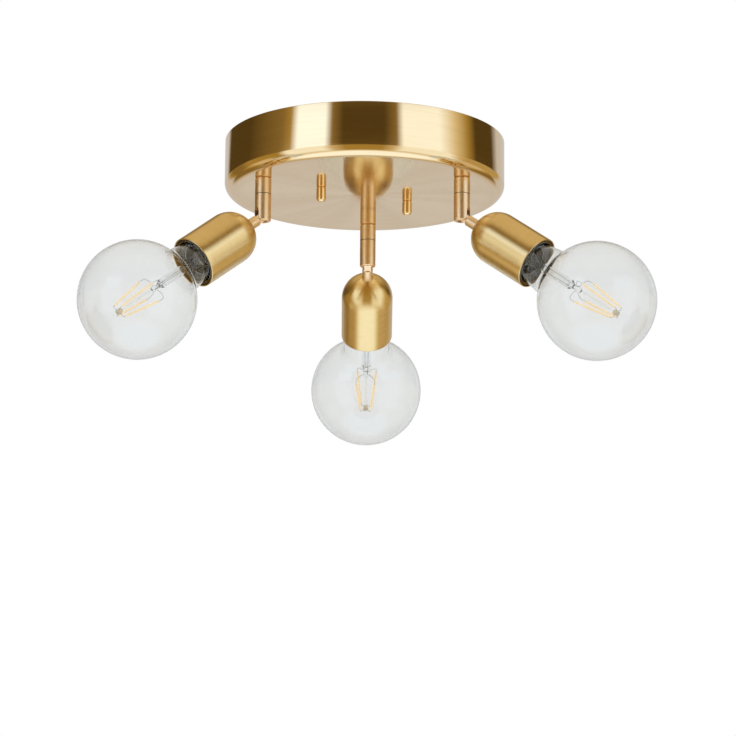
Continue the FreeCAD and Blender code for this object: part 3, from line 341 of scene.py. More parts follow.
canopyBrass = brushedLathe("canopyBrass", canopyLook)
cupBrass = brushedLathe("cupBrass", cupLook)
capMetal = brushedLathe("capMetal", capLook)
stemBrass = turnedMetal("stemBrass", stemLook)
nutBrass = brushedLathe("nutBrass", nutLook)
shellMetal = turnedMetal("shellMetal", shellLook)
zincSteel = cloudedSkin("zincSteel", steelLook, Metallic=1.0)
zincThread = threadedSteel("zincThread", steelLook)
wireMetal = cloudedSkin("wireMetal", wireLook, Metallic=1.0)
ivoryPlastic = cloudedSkin("ivoryPlastic", ivoryLook)
# Brown-black moulding; its warm specular tint is painted reflection, standing in for brass
# mirrored in the holder's mouth
blackPlastic = cloudedSkin("blackPlastic", blackLook, Specular_IOR_Level=1.0,
                           Specular_Tint=(1.0, 0.84, 0.55, 1.0))
darkWasher = cloudedSkin("darkWasher", washerLook, Specular_IOR_Level=0.4)
leadSleeve = cloudedSkin("leadSleeve", sleeveLook, Specular_IOR_Level=0.35)
# The glow stands in for light that the renderer doesn't carry through the glass
filamentCoat = cloudedSkin("filamentCoat", filamentLook, Specular_IOR_Level=0.4,
                           Emission_Color=(1.0, 0.77, 0.47, 1.0), Emission_Strength=0.5)
bulbGlass = clearGlass("bulbGlass", bulbLook)
mountGlass = clearGlass("mountGlass", mountLook)
print("stage: materials made,", len(bpy.data.materials))


# Shapes

# A row of a smaller radius in millimetres is one point
pointRadius = 1e-6


def arcPoints(centre, radius, start, end, count):
    # Points (radius, height) on an arc, by angle in degrees from the radius axis
    angles = np.radians(np.linspace(start, end, count))
    across, up = centre
    return np.column_stack([across + radius * np.cos(angles), up + radius * np.sin(angles)])


def cellCorners(grid):
    # The four corners of each cell of a grid of rows and columns
    return np.stack([grid[:, :-1, :-1], grid[:, :-1, 1:], grid[:, 1:, 1:], grid[:, 1:, :-1]],
                    axis=3)


def skinPiece(name, rings, closed, along, material, body, sharp):
    # Closed skins over rings (skin, row, column). A closed row is one point, so its cells are
    # triangles. UV: share of a turn, metres along the profile.
    skins, rows, columns = rings.shape[:3]
    index = np.arange(skins * rows * columns).reshape(skins, rows, columns)
    index = np.where(closed[:, None], index[:, :, :1], index)
    index = np.concatenate([index, index[:, :, :1]], axis=2)
    share = np.broadcast_to(np.linspace(0, 1, columns + 1), index.shape)
    marks = np.stack([share, np.broadcast_to(along[:, :, None], index.shape)], axis=-1)
    cells, cellMarks = cellCorners(index), cellCorners(marks)
    before, after = closed[:-1], closed[1:]
    whole, first, last = ~before & ~after, before & ~after, ~before & after
    quads, quadMarks = cells[:, whole].reshape(-1, 4), cellMarks[:, whole].reshape(-1, 4, 2)
    ends = [(cells[:, first][..., [0, 2, 3]], cellMarks[:, first][..., [0, 2, 3], :]),
            (cells[:, last][..., [0, 1, 2]], cellMarks[:, last][..., [0, 1, 2], :])]
    tris = np.concatenate([corners.reshape(-1, 3) for corners, _ in ends])
    triMarks = np.concatenate([spots.reshape(-1, 3, 2) for _, spots in ends])
    points = rings.reshape(-1, 3)
    solid = points[np.concatenate([quads[:, :3], quads[:, [0, 2, 3]], tris])]
    # A negative volume means that the faces look inwards
    if np.einsum("ij,ij->", solid[:, 0], np.cross(solid[:, 1], solid[:, 2])) < 0:
        quads, quadMarks = quads[:, ::-1], quadMarks[:, ::-1]
        tris, triMarks = tris[:, ::-1], triMarks[:, ::-1]
    used, corners = np.unique(np.concatenate([quads.ravel(), tris.ravel()]), return_inverse=True)
    starts = np.concatenate([np.arange(len(quads)) * 4,
                             len(quads) * 4 + np.arange(len(tris)) * 3])
    mesh = bpy.data.meshes.new(name)
    mesh.vertices.add(len(used))
    mesh.loops.add(len(corners))
    mesh.polygons.add(len(starts))
    mesh.vertices.foreach_set("co", points[used].ravel())
    mesh.loops.foreach_set("vertex_index", corners.ravel())
    mesh.polygons.foreach_set("loop_start", starts)
    mesh.update(calc_edges=True)
    layer = mesh.uv_layers.new(name="turning")
    layer.data.foreach_set("uv", np.concatenate([quadMarks.ravel(), triMarks.ravel()]))
    mesh.shade_smooth()
    mesh.set_sharp_from_angle(angle=math.radians(sharp))
    mesh.materials.append(material)
    piece = bpy.data.objects.new(name, mesh)
    bpy.context.scene.collection.objects.link(piece)
    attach(piece, body)
    return piece


def placed(points, placement):
    # Millimetres of a piece's own frame to metres of the object's
    return points * mm @ np.array(placement.to_3x3()).T + np.array(placement.translation)


def lathe(name, profile, segments, placement, material, body, ripple=None, sharp=35.0):
    # Profile (r, h) carried round its axis: x = r cos a, y = r sin a, z = h.
    # A ripple adds to r as a function of a and h.
    profile = np.asarray(profile, float)
    angle = np.linspace(0, 2 * np.pi, segments, endpoint=False)
    radius, height = (np.repeat(profile[:, k:k + 1], segments, axis=1) for k in (0, 1))
    if ripple is not None:
        radius = radius + ripple(np.broadcast_to(angle, radius.shape), height)
    rings = np.stack([radius * np.cos(angle), radius * np.sin(angle), height], axis=-1)[None]
    steps = np.hypot(*np.diff(profile, axis=0).T)
    along = np.concatenate([[0], np.cumsum(steps)])[None] * mm
    closed = profile[:, 0] < pointRadius
    return skinPiece(name, placed(rings, placement), closed, along, material, body, sharp)


def tubes(name, paths, radii, sides, placement, material, body, sharp=60.0, upright=0.9):
    # Circles carried along paths (tube, step): c + r (s cos a + u sin a), s and u across the path.
    # Each tube is closed to a point at both ends.
    ahead = np.gradient(paths, axis=1)
    ahead /= np.linalg.norm(ahead, axis=-1, keepdims=True)
    middle = np.abs(ahead[:, paths.shape[1] // 2, 2:])
    helper = np.where(middle < upright, [[0.0, 0.0, 1.0]], [[1.0, 0.0, 0.0]])[:, None]
    side = np.cross(ahead, helper)
    side /= np.linalg.norm(side, axis=-1, keepdims=True)
    over = np.cross(side, ahead)
    angle = np.linspace(0, 2 * np.pi, sides, endpoint=False)[:, None]
    circles = side[:, :, None] * np.cos(angle) + over[:, :, None] * np.sin(angle)
    rings = paths[:, :, None] + radii[:, None, None] * circles
    steps = np.linalg.norm(np.diff(paths, axis=1), axis=-1)
    along = np.pad(np.cumsum(steps, axis=1), ((0, 0), (1, 0))) * mm
    closed = radii < pointRadius
    return skinPiece(name, placed(rings, placement), closed, along, material, body, sharp)


def smoothPath(corners, count):
    # Catmull-Rom through the corners (tube, corner), sampled evenly by corner.
    # The last sample stays just inside the last cell.
    corners = np.asarray(corners, float)
    before = 2 * corners[:, :1] - corners[:, 1:2]
    after = 2 * corners[:, -1:] - corners[:, -2:-1]
    padded = np.concatenate([before, corners, after], axis=1)
    place = np.linspace(0, corners.shape[1] - 1 - 1e-9, count)
    cell, share = place.astype(int), (place % 1)[:, None]
    a, b, c, d = (padded[:, cell + shift] for shift in range(4))
    return 0.5 * (2 * b + (c - a) * share + (2 * a - 5 * b + 4 * c - d) * share ** 2
                  + (3 * b - a - 3 * c + d) * share ** 3)


# Canopy, in millimetres as all pieces are

canopy = dict(radius=115.0, height=44.0, wall=1.2, edge=8.0, lip=0.35, segments=288,
              plateSteps=40, edgeSteps=22, lipSteps=6, insideSteps=14)


def makeCanopy():
    # Pan wall as one closed profile: plate, rounded edge, side, rolled rim, and back inside
    size = canopy
    low, inner, lip = -size["height"], size["radius"] - size["wall"], size["lip"]
    bend = (size["radius"] - size["edge"], low + size["edge"])
    plate = np.linspace(0, bend[0], size["plateSteps"])[:-1]
    profile = np.concatenate([
        np.column_stack([plate, np.full(len(plate), low)]),
        arcPoints(bend, size["edge"], -90, 0, size["edgeSteps"]),
        arcPoints((size["radius"] - lip, -lip), lip, 0, 90, size["lipSteps"]),
        arcPoints((inner + lip, -lip), lip, 90, 180, size["lipSteps"]),
        arcPoints(bend, size["edge"] - size["wall"], 0, -90, size["insideSteps"]),
        [[0, low + size["wall"]]],
    ])
    piece = lathe("canopyPan", profile, size["segments"], Matrix(), canopyBrass,
                  "canopy")
    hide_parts("canopy_pan")


capNut = dict(place=40.0, turned=30.0, radius=4.0, height=12.0, round=2.6, bevel=0.7, hole=2.15,
              roof=2.5, segments=64, roundSteps=12)


def makeCapNuts():
    # Round cap nuts under the plate: bevelled foot, straight side, rounded end, hole for the stud
    size = capNut
    foot, radius, hole = -canopy["height"], size["radius"], size["hole"]
    end, turn = foot - size["height"], math.radians(size["turned"])
    roof, bevel = end + size["roof"], size["bevel"]
    profile = np.concatenate([
        [[hole, foot], [radius - bevel, foot], [radius, foot - bevel]],
        arcPoints((radius - size["round"], end + size["round"]), size["round"], 0, -90,
                  size["roundSteps"]),
        [[0, end], [0, roof], [hole, roof], [hole, foot]],
    ])
    for name, side in (("right", 1), ("left", -1)):
        spot = Vector((math.cos(turn), math.sin(turn), 0)) * size["place"] * side * mm
        piece = lathe(name + "_capNut", profile, size["segments"], Matrix.Translation(spot),
                      nutBrass, "canopy")
        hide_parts("cap_nuts")


makeCanopy()
makeCapNuts()
print("stage: canopy made")


# Heads, by distance from the tilt pin along each head's axis

cup = dict(seat=18.2, seatRadius=5.5, holeRadius=3.65, radius=21.6, wall=1.0, rim=81.2,
           segments=160, domeSteps=40, sideSteps=9, rimSteps=11, insideSteps=24)
holder = dict(seat=19.2, boss=5.0, bossRadius=5.07, cone=18.0, floor=48.5, bore=13.95, skirt=20.3,
              mouth=80.7, mouthRadius=17.9, mouthRound=0.4, ledge=10.2, edgeRound=0.8, thread=3.55,
              floorThickness=2.0, segments=128, edgeSteps=9, mouthSteps=6)
bulb = dict(neckInside=12.3, neckRadius=17.2, neckEnd=68.5, flare=8.0, blend=10.0,
            globeRadius=47.5, globeCentre=144.5, wall=0.8, segments=176,
            shoulderSteps=14, flareSteps=5, blendSteps=12, globeSteps=72)
cap = dict(rim=76.5, radius=13.0, wall=0.4, end=8.5, taper=55.0, shoulder=58.5, bevel=0.2,
           threadPitch=3.63, threadDepth=0.55, threadInset=0.4, threadFade=6.0, threadSteps=48,
           segments=96)
mount = dict(foot=72.5, footRadius=11.2, wall=1.0, neck=86.5, radius=4.0, shoulder=116.4,
             waist=1.8, bead=125.0, beadRadius=2.8, rod=0.7, hub=164.5, hubRadius=2.2,
             hubLength=4.5, hubRound=0.4, beadGap=1.0, rodGap=0.6, rodSunk=0.2, segments=64,
             sharp=50.0, footSteps=16, taperSteps=12, beadSteps=15, roofSteps=8, hubSteps=5,
             hubSegments=40)
filament = dict(footRadius=11.4, foot=130.5, headRadius=6.2, head=164.0, radius=0.9, count=4,
                steps=41, sides=20, tip=0.03, waves=14, waveDepth=0.03,
                wire=0.25, wireSteps=25, wireSides=10,
                turns={"rear": 41.0, "front_left": 62.0, "front_right": 29.0})


def armPlacement(arm):
    # Frame of one head from its hinges: origin at the pin, -Z along the head, as at rest
    tilt = hinges[arm + "_tilt"]
    spin = math.atan2(tilt["axis"][0], -tilt["axis"][1])
    lean = math.radians(-tilt["range_deg"][0])
    turned = Matrix.Rotation(spin, 4, "Z") @ Matrix.Rotation(-lean, 4, "Y")
    return Matrix.Translation(tilt["pos_m"]) @ turned


def down(profile):
    # Distances along the head become heights below the pin
    return np.asarray(profile, float) * [1, -1]


def makeCup(arm, placement):
    # Seat, round dome, straight side, rounded rim, and the same inside by one wall
    size = cup
    radius, wall, hole, seat = size["radius"], size["wall"], size["holeRadius"], size["seat"]
    rise = math.sqrt(radius ** 2 - size["seatRadius"] ** 2)
    centre = (0, seat + rise)
    inside, half = radius - wall, wall / 2
    seatInside = math.sqrt(inside ** 2 - (rise - wall) ** 2)
    start = math.degrees(math.atan2(-rise, size["seatRadius"]))
    inner = math.degrees(math.atan2(wall - rise, seatInside))
    side = np.linspace(centre[1], size["rim"] - half, size["sideSteps"] + 1)[1:]
    profile = np.concatenate([
        [[hole, seat]],
        arcPoints(centre, radius, start, 0, size["domeSteps"]),
        np.column_stack([np.full(len(side), radius), side]),
        arcPoints((radius - half, size["rim"] - half), half, 0, 180, size["rimSteps"])[1:],
        arcPoints(centre, inside, 0, inner, size["insideSteps"]),
        [[hole, seat + wall], [hole, seat]],
    ])
    piece = lathe(arm + "_socketCup", down(profile), size["segments"], placement, cupBrass,
                  arm + "_head")
    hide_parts(arm + "_socket_cup")


def makeHolder(arm, placement):
    # Black holder: boss, cone and skirt outside, mouth, ledge and bore inside
    size = holder
    seat, mouth, floor, skirt = size["seat"], size["mouth"], size["floor"], size["skirt"]
    thread, boss, bore = size["thread"], size["bossRadius"], size["bore"]
    opening, edge, lip = size["mouthRadius"], size["edgeRound"], size["mouthRound"]
    back, ledge = floor - size["floorThickness"], mouth - size["ledge"]
    coneStart = seat + size["boss"]
    profile = np.concatenate([
        [[0, back], [thread, back], [thread, seat], [boss, seat], [boss, coneStart],
         [skirt, coneStart + size["cone"]]],
        arcPoints((skirt - edge, mouth - edge), edge, 0, 90, size["edgeSteps"]),
        arcPoints((opening + lip, mouth - lip), lip, 90, 180, size["mouthSteps"]),
        [[opening, ledge], [bore, ledge], [bore, floor], [0, floor]],
    ])
    piece = lathe(arm + "_lampHolder", down(profile), size["segments"], placement, blackPlastic,
                  arm + "_head")
    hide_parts(arm + "_lamp_holder")


def turnFrom(centre, point):
    return math.degrees(math.atan2(point[1] - centre[1], point[0] - centre[0]))


def glassSkin(inset):
    # Neck, shoulder arc, flared line, blend arc and globe, each tangent to the next
    size = bulb
    lean = math.radians(size["flare"])
    ahead = np.array([math.sin(lean), math.cos(lean)])
    aside = np.array([math.cos(lean), -math.sin(lean)])
    shoulder = size["neckRadius"] - size["neckInside"]
    hub = np.array([size["neckInside"], cap["rim"] + shoulder])
    shoulder -= inset
    globe, blend = size["globeRadius"] - inset, size["blend"] + inset
    middle = np.array([0, size["globeCentre"]])
    lineStart = hub + aside * shoulder
    probe = lineStart + aside * blend - middle
    reach, span = probe @ ahead, globe + blend
    lineEnd = lineStart + ahead * (-reach - math.sqrt(reach ** 2 - probe @ probe + span ** 2))
    blendCentre = lineEnd + aside * blend
    touch = middle + (blendCentre - middle) * globe / span
    first = math.degrees(math.atan2(-math.sqrt(shoulder ** 2 - inset ** 2), -inset))
    shares = np.linspace(0, 1, size["flareSteps"])[1:-1, None]
    blendTurns = (turnFrom(blendCentre, point) % 360 for point in (lineEnd, touch))
    skin = np.concatenate([
        [[size["neckInside"] - inset, size["neckEnd"]]],
        arcPoints(hub, shoulder, first, turnFrom(hub, lineStart), size["shoulderSteps"]),
        lineStart + (lineEnd - lineStart) * shares,
        arcPoints(blendCentre, blend, *blendTurns, size["blendSteps"]),
        arcPoints(middle, globe, turnFrom(middle, touch), 90, size["globeSteps"])[1:],
    ])
    skin[-1, 0] = 0
    return skin


def makeGlass(arm, placement):
    profile = np.concatenate([glassSkin(0.0)[::-1], glassSkin(bulb["wall"])])
    piece = lathe(arm + "_bulbGlass", down(profile), bulb["segments"], placement, bulbGlass,
                  arm + "_head")
    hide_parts(arm + "_bulb_glass")


def makeCap(arm, placement):
    # Screw cap whose wall ripples as a helix over its threaded part:
    # r - depth (1 + cos(2 pi h / pitch - a)) / 2
    size = cap
    radius, wall, rim = size["radius"], size["wall"], size["rim"]
    thread = np.linspace(size["shoulder"] + size["threadInset"],
                         bulb["neckEnd"] - size["threadInset"], size["threadSteps"])

    def helix(angle, height):
        ends = (-height - thread[0]) * (thread[-1] + height)
        fade = np.clip(ends / size["threadFade"], 0, 1)
        wave = 0.5 + 0.5 * np.cos(2 * np.pi * height / size["threadPitch"] - angle)
        return -size["threadDepth"] * fade * wave

    outer = np.concatenate([
        [[size["end"], size["taper"]], [radius, size["shoulder"]]],
        np.column_stack([np.full(len(thread), radius), thread]),
        [[radius, rim - size["bevel"]]],
    ])
    inner = outer[::-1] - [wall, 0]
    profile = np.concatenate([outer, [[radius - wall / 2, rim]], inner, outer[:1]])
    piece = lathe(arm + "_bulbCap", down(profile), size["segments"], placement, capMetal,
                  arm + "_head", ripple=helix)
    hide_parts(arm + "_bulb_cap")


def makeMount(arm, placement):
    # Glass mount as one smooth profile: flared foot, hollow post, waist, bead and rod
    size, body = mount, arm + "_head"
    radius, waist, shoulder, bead = (size[key] for key in ("radius", "waist", "shoulder", "bead"))
    flare, taper = np.linspace(0, 1, size["footSteps"]), np.linspace(0, 1, size["taperSteps"])
    swell = np.linspace(-1, 1, size["beadSteps"])
    footCurve = radius + (size["footRadius"] - radius) * (1 - flare) ** 2
    footPlace = size["foot"] + (size["neck"] - size["foot"]) * flare
    taperCurve = waist + (radius - waist) * (0.5 + 0.5 * np.cos(np.pi * taper))
    taperPlace = shoulder + taper * (bead - size["beadRadius"] - shoulder - size["beadGap"])
    beadCurve = waist + (size["beadRadius"] - waist) * np.cos(np.pi * swell / 2)
    beadPlace = bead + size["beadRadius"] * swell
    half, inside = size["hubLength"] / 2, radius - size["wall"]
    rodStart = bead + size["beadRadius"] + size["rodGap"]
    rodEnd = size["hub"] - half + size["rodSunk"]
    profile = np.concatenate([
        np.column_stack([footCurve, footPlace]),
        np.column_stack([taperCurve, taperPlace]),
        np.column_stack([beadCurve, beadPlace]),
        [[size["rod"], rodStart], [size["rod"], rodEnd], [0, rodEnd], [0, shoulder]],
        arcPoints((0, shoulder - inside), inside, 90, 0, size["roofSteps"])[1:],
        np.column_stack([footCurve - size["wall"], footPlace])[::-1],
        [[size["footRadius"], size["foot"]]],
    ])
    piece = lathe(arm + "_filamentMount", down(profile), size["segments"], placement, mountGlass,
                  body, sharp=size["sharp"])
    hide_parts(arm + "_filament_mount")

    # Metal hub at its end, with rounded edges
    edge, low, high = size["hubRound"], size["hub"] - half, size["hub"] + half
    across = size["hubRadius"] - edge
    hub = np.concatenate([
        [[0, low]],
        arcPoints((across, low + edge), edge, -90, 0, size["hubSteps"]),
        arcPoints((across, high - edge), edge, 0, 90, size["hubSteps"]),
        [[0, high]],
    ])
    piece = lathe(arm + "_filamentHub", down(hub), size["hubSegments"], placement, capMetal, body)
    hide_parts(arm + "_filament_mount")


def makeFilaments(arm, placement):
    # Sticks and wires, the same for each quarter turn
    size, body = filament, arm + "_head"
    turned = placement @ Matrix.Rotation(math.radians(size["turns"][arm]), 4, "Z")
    angle = np.linspace(0, 2 * np.pi, size["count"], endpoint=False)
    out = np.column_stack([np.cos(angle), np.sin(angle), np.zeros(size["count"])])[:, None]

    def bent(corners):
        # Corners (distance out, distance along) for every quarter turn: o out - k along
        corners = np.asarray(corners, float)
        return out * corners[:, :1] + corners[:, 1:] * [0, 0, -1]

    wide, tight, foot, head = (size[key] for key in ("footRadius", "headRadius", "foot", "head"))
    along = np.linspace(0, 1, size["steps"])
    stick = bent(np.array([[wide, foot]])
                 + np.array([[tight - wide, head - foot]]) * along[:, None])
    ends = 1 - np.minimum(along, 1 - along).clip(0, size["tip"]) / size["tip"]
    wave = 0.5 + 0.5 * np.cos(along * 2 * np.pi * size["waves"])
    radii = size["radius"] * np.sqrt(1 - ends ** 2) * (1 - size["waveDepth"] * wave)
    piece = tubes(arm + "_filaments", stick, radii, size["sides"], turned, filamentCoat, body)
    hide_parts(arm + "_filaments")

    # Wires from the bead to the sticks' feet, from the hub to their heads, and two in the post
    bead, hub = mount["bead"], mount["hub"]
    feet = bent([[2.4, bead - 0.3], [0.46 * wide, bead - 1.2], [0.82 * wide, bead - 0.4],
                 [wide, bead + 1.6], [wide, foot + 0.8]])
    heads = bent([[2.0, hub], [0.7 * tight, hub + 0.8], [0.98 * tight, hub + 0.4],
                  [tight, head - 0.6]])
    leadIns = bent([[2.6, mount["foot"] + 6.0], [2.3, mount["neck"] + 6.0],
                    [1.6, mount["shoulder"]], [1.0, bead - 3.4], [1.6, bead]])[::2]
    paths = np.concatenate([smoothPath(run, size["wireSteps"]) for run in (feet, heads, leadIns)])
    thin = np.full(size["wireSteps"], size["wire"])
    thin[[0, -1]] = 0
    piece = tubes(arm + "_filamentWires", paths, thin, size["wireSides"], turned, wireMetal, body)
    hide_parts(arm + "_filament_wires")


for arm in armNames:
    place = armPlacement(arm)
    for make in (makeCup, makeHolder, makeGlass, makeCap, makeMount, makeFilaments):
        make(arm, place)
print("stage: heads made")


# Leads inside the canopy: way of the block, how far out the lead turns in, bends of its route

leads = dict(radius=1.5, level=-16.0, stemEnd=-47.0, turned=30.0, entry=4.0, ringSteps=6,
             runSteps=24, order=3, routes={
                 "rear": (14.0, 26.0, [(36, 46)]),
                 "front_left": (-2.0, -25.0, [(-52, -20), (-20, -30)]),
                 "front_right": (6.0, -27.0, [(34, -46)]),
             })


def makeLeads():
    # Each lead is one smooth spline by the corners of its route, from its stem to its terminal
    turned = Matrix.Rotation(math.radians(leads["turned"]), 3, "Z")
    level = leads["level"]
    for arm, (way, outside, bends) in leads["routes"].items():
        foot = Vector(hinges[arm + "_turn"]["pos_m"][:2]) / mm
        inside = math.copysign(leads["entry"], outside)
        corners = [Vector((*foot, leads["stemEnd"])), Vector((*foot, level))]
        corners += [turned @ Vector((u, v, level))
                    for u, v in bends + [(way, outside), (way, inside)]]
        weighted = np.column_stack([np.array(corners) * mm, np.ones(len(corners))])
        curve = bpy.data.curves.new(arm + "_lead", "CURVE")
        curve.dimensions = "3D"
        curve.bevel_depth = leads["radius"] * mm
        curve.bevel_resolution = leads["ringSteps"]
        curve.resolution_u = leads["runSteps"]
        curve.use_fill_caps = True
        spline = curve.splines.new("NURBS")
        spline.points.add(len(corners) - 1)
        spline.points.foreach_set("co", weighted.ravel())
        spline.order_u = leads["order"]
        spline.use_endpoint_u = True
        curve.materials.append(leadSleeve)
        piece = bpy.data.objects.new(arm + "_lead", curve)
        bpy.context.scene.collection.objects.link(piece)
        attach(piece, "canopy")
        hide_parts("arm_leads")


makeLeads()
print("stage: leads made")


# Finishes of the CAD pieces that stay

staying = {
    "mounting_bracket": zincSteel, "bracket_studs": zincThread, "bracket_nuts": zincSteel,
    "earth_screw": zincSteel, "terminal_block": ivoryPlastic, "terminal_screws": zincSteel,
    "terminal_fixing": zincSteel, "stem_lock_nuts": zincSteel, "stem_lock_washers": zincSteel,
}
for arm in armNames:
    staying.update({
        arm + "_stem_collar": stemBrass, arm + "_swivel_washer": darkWasher,
        arm + "_swivel_ring": zincSteel, arm + "_swivel_barrel": stemBrass,
        arm + "_tilt_pin": stemBrass,
        arm + "_tilt_finger": turnedMetal(arm + "FingerBrass", stemLook, armPlacement(arm)),
        arm + "_holder_shell": shellMetal, arm + "_holder_contact": shellMetal,
        arm + "_bulb_insulator": blackPlastic,
    })
for node, material in staying.items():
    mesh = nodes[node].data
    mesh.materials.clear()
    mesh.materials.append(material)
print("stage: CAD pieces dressed,", len(staying))


# Stage: floor, light and camera

shades = dict(
    back=(0.64, 0.615, 0.62), dark=(0.09, 0.054, 0.013), bronze=(0.26, 0.165, 0.045),
    amber=(0.42, 0.27, 0.06), honey=(0.52, 0.37, 0.14), sand=(0.62, 0.54, 0.45),
    gold=(0.70, 0.55, 0.32), warm=(0.80, 0.68, 0.42), cream=(1.08, 1.10, 1.06),
    soft=(1.18, 1.27, 1.37), white=(1.25, 1.42, 1.68))

# Softboxes and dark walls round the studio, by degrees from the front
panels = [
    (-180, "back"), (-152, "back"), (-144, "dark"), (-108, "dark"), (-70, "bronze"),
    (-62, "amber"), (-55, "white"), (-31, "white"), (-25, "bronze"), (-16, "dark"),
    (18, "dark"), (28, "bronze"), (34, "soft"), (66, "soft"), (82, "warm"), (96, "amber"),
    (106, "dark"), (131, "dark"), (143, "back"), (180, "back"),
]
# The same at their feet, where the back wall comes further round
feet = [
    (-180, "back"), (-146, "back"), (-138, "amber"), (-132, "bronze"), (-116, "bronze"),
    (-106, "amber"), (-72, "amber"), (-64, "cream"), (-32, "cream"), (-25, "gold"),
    (-14, "amber"), (16, "amber"), (26, "gold"), (34, "cream"), (74, "cream"), (84, "gold"),
    (93, "honey"), (138, "honey"), (146, "back"), (180, "back"),
]
# The same on the floor before them
near = [
    (-180, "sand"), (-167, "sand"), (-152, "bronze"), (-128, "bronze"), (-118, "amber"),
    (-106, "gold"), (-88, "gold"), (-80, "amber"), (-72, "amber"), (-64, "cream"),
    (-32, "cream"), (-25, "gold"), (-14, "amber"), (16, "amber"), (26, "gold"), (34, "cream"),
    (80, "cream"), (92, "gold"), (121, "gold"), (131, "amber"), (140, "bronze"),
    (152, "bronze"), (167, "sand"), (180, "sand"),
]
# Above them, by the height of the view
aboveBands = [(0.50, "bronze"), (0.68, "bronze"), (0.84, "gold"), (1.0, "gold")]
# Middle of the floor, by metres from under the canopy
middleBands = [(2.2, "soft"), (3.6, "warm"), (5.4, "amber")]


def shadeRamp(tree, fac, bands):
    # Ramp over the bands' own span
    low, high = bands[0][0], bands[-1][0]
    return rampNode(tree, rangeNode(tree, fac, 0.0, 1.0, low, high),
                    [((place - low) / (high - low), shades[shade]) for place, shade in bands])


def makeStudioSides():
    # Colour of the panels in a direction, from their height at Low 0 to their feet at Low 1,
    # and of the floor before them at Near 1
    group, start, end = newGroup(
        "studioSides", [("Direction", "Vector"), ("Low", "Float"), ("Near", "Float")],
        [("Colour", "Color")])
    flat = addNode(group, "ShaderNodeVectorMath", operation="MULTIPLY")
    flat.inputs[1].default_value = (1.0, 1.0, 0.0)
    unit = addNode(group, "ShaderNodeVectorMath", operation="NORMALIZE")
    parts = addNode(group, "ShaderNodeSeparateXYZ")
    join(group, (start.outputs["Direction"], flat.inputs[0]), (flat.outputs[0], unit.inputs[0]),
         (unit.outputs[0], parts.inputs[0]))
    front = mathNode(group, "MULTIPLY", parts.outputs["Y"], -1.0)
    angle = mathNode(group, "ARCTAN2", parts.outputs["X"], front)
    degrees = mathNode(group, "DEGREES", angle)
    sides = mixNode(group, start.outputs["Low"], shadeRamp(group, degrees, panels),
                    shadeRamp(group, degrees, feet))
    whole = mixNode(group, start.outputs["Near"], sides, shadeRamp(group, degrees, near))
    join(group, (whole, end.inputs["Colour"]))
    return group


studioSides = makeStudioSides()
# Spans of distance in metres over which the middle and then the near floor give way
floorPlan = dict(level=-4.4, radius=28.0, rings=15, spokes=48, colour=(0.97, 0.97, 0.965),
                 roughness=0.9, middleEnd=(3.0, 6.0), nearEnd=(10.5, 13.5))


def makeFloor():
    # Flat round grid: x = r cos a, y = r sin a
    size = floorPlan
    rings, spokes = size["rings"], size["spokes"]
    radius = np.linspace(0, size["radius"], rings + 1)[1:, None]
    angle = np.linspace(0, 2 * np.pi, spokes, endpoint=False)
    points = np.stack([radius * np.cos(angle), radius * np.sin(angle),
                       np.full((rings, spokes), size["level"])], axis=-1).reshape(-1, 3)
    index = np.arange(rings * spokes).reshape(1, rings, spokes)
    cells = cellCorners(np.concatenate([index, index[:, :, :1]], axis=2)).reshape(-1, 4)
    mesh = bpy.data.meshes.new("floor")
    mesh.from_pydata(points.tolist(), [], cells.tolist() + [index[0, 0].tolist()])
    floor = bpy.data.objects.new("floor", mesh)
    bpy.context.scene.collection.objects.link(floor)

    # Pale paint, and in what the object mirrors the floor of the studio
    material, tree, shader = newMaterial("paleFloor", Roughness=size["roughness"],
                                         Base_Color=(*size["colour"], 1))
    spot = addNode(tree, "ShaderNodeTexCoord")
    parts = addNode(tree, "ShaderNodeSeparateXYZ")
    path = addNode(tree, "ShaderNodeLightPath")
    glow = addNode(tree, "ShaderNodeEmission")
    mix = addNode(tree, "ShaderNodeMixShader")
    sides = useGroup(tree, studioSides, Low=1.0)
    join(tree, (spot.outputs["Object"], parts.inputs[0]),
         (spot.outputs["Object"], sides.inputs["Direction"]))
    squares = [mathNode(tree, "POWER", parts.outputs[axis], 2.0) for axis in "XY"]
    away = mathNode(tree, "SQRT", mathNode(tree, "ADD", *squares))
    join(tree, (rangeNode(tree, away, 1.0, 0.0, *size["nearEnd"]), sides.inputs["Near"]))
    bands = mixNode(tree, rangeNode(tree, away, 0.0, 1.0, *size["middleEnd"]),
                    shadeRamp(tree, away, middleBands), sides.outputs["Colour"])
    clear = mathNode(tree, "SUBTRACT", 1.0, path.outputs["Is Transmission Ray"])
    mirrored = mathNode(tree, "MULTIPLY", path.outputs["Is Glossy Ray"], clear)
    join(tree, (bands, glow.inputs["Color"]), (mirrored, mix.inputs[0]),
         (shader.outputs[0], mix.inputs[1]), (glow.outputs[0], mix.inputs[2]),
         (mix.outputs[0], tree.nodes["Material Output"].inputs["Surface"]))
    mesh.materials.append(material)


# Light on the object, through its glass and behind it, and spans of the view's height over which
# the panels' feet and then the panels give way
sky = dict(plain=(0.82, 0.82, 0.82), through=(0.95, 0.955, 0.96), shown=(1.0, 1.0, 1.0),
           feetEnd=(0.20, 0.25), panelsEnd=(0.42, 0.60))


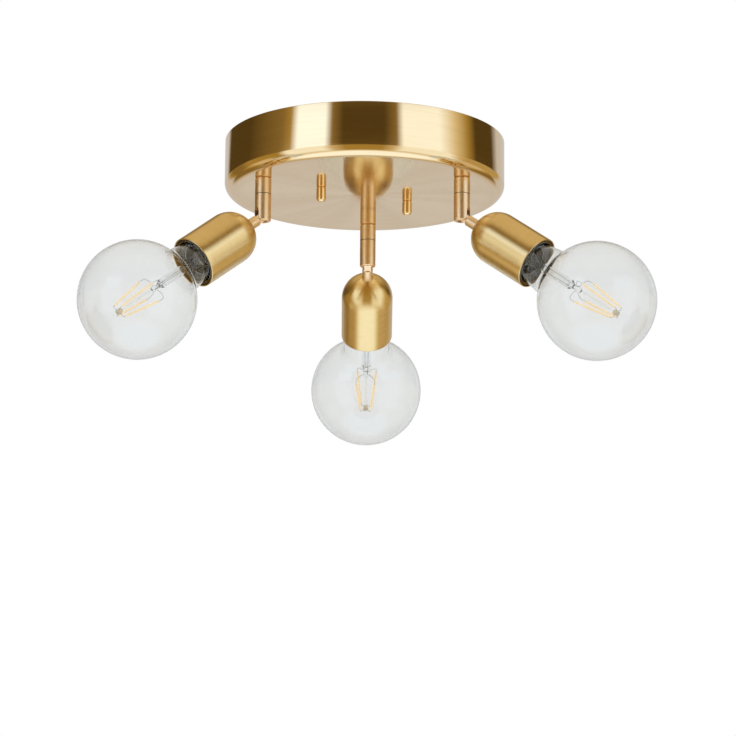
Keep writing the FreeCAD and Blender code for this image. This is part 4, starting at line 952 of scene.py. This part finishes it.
def makeWorld():
    # White behind the object, even light on it, and the panels in what it mirrors
    world = bpy.data.worlds.new("studio")
    bpy.context.scene.world = world
    world.use_nodes = True
    tree = world.node_tree
    spot = addNode(tree, "ShaderNodeTexCoord")
    parts = addNode(tree, "ShaderNodeSeparateXYZ")
    path = addNode(tree, "ShaderNodeLightPath")
    sides = useGroup(tree, studioSides)
    join(tree, (spot.outputs["Generated"], parts.inputs[0]),
         (spot.outputs["Generated"], sides.inputs["Direction"]))
    height = parts.outputs["Z"]
    join(tree, (rangeNode(tree, height, 1.0, 0.0, *sky["feetEnd"]), sides.inputs["Low"]))
    mirrored = mixNode(tree, rangeNode(tree, height, 0.0, 1.0, *sky["panelsEnd"]),
                       sides.outputs["Colour"], shadeRamp(tree, height, aboveBands))
    lit = mixNode(tree, path.outputs["Is Glossy Ray"], sky["plain"], mirrored)
    through = mixNode(tree, path.outputs["Is Transmission Ray"], lit, sky["through"])
    shown = mixNode(tree, path.outputs["Is Camera Ray"], through, sky["shown"])
    join(tree, (shown, tree.nodes["Background"].inputs[0]))


# Fitted to the photograph: place in metres, turns in degrees, lens and sensor in millimetres
camera = dict(place=(0.1041, -3.0032, -0.926), yaw=-1.907, pitch=13.747, roll=0.47, lens=186.04,
              sensor=36.0, reach=100.0)


def makeCamera():
    yaw, pitch, roll = (math.radians(camera[key]) for key in ("yaw", "pitch", "roll"))
    level = math.cos(pitch)
    ahead = np.array([math.sin(yaw) * level, math.cos(yaw) * level, math.sin(pitch)])
    right = np.array([math.cos(yaw), -math.sin(yaw), 0.0])
    up = np.cross(right, ahead)
    turn = np.eye(4)
    turn[:3, 0] = math.cos(roll) * right + math.sin(roll) * up
    turn[:3, 1] = math.cos(roll) * up - math.sin(roll) * right
    turn[:3, 2], turn[:3, 3] = -ahead, camera["place"]
    data = bpy.data.cameras.new("camera")
    data.lens = camera["lens"]
    data.sensor_width = camera["sensor"]
    data.clip_end = camera["reach"]
    eye = bpy.data.objects.new("camera", data)
    bpy.context.scene.collection.objects.link(eye)
    eye.matrix_world = Matrix(turn.tolist())
    bpy.context.scene.camera = eye


makeFloor()
makeWorld()
makeCamera()
bpy.context.scene.view_settings.view_transform = "Standard"
print("stage: studio made")
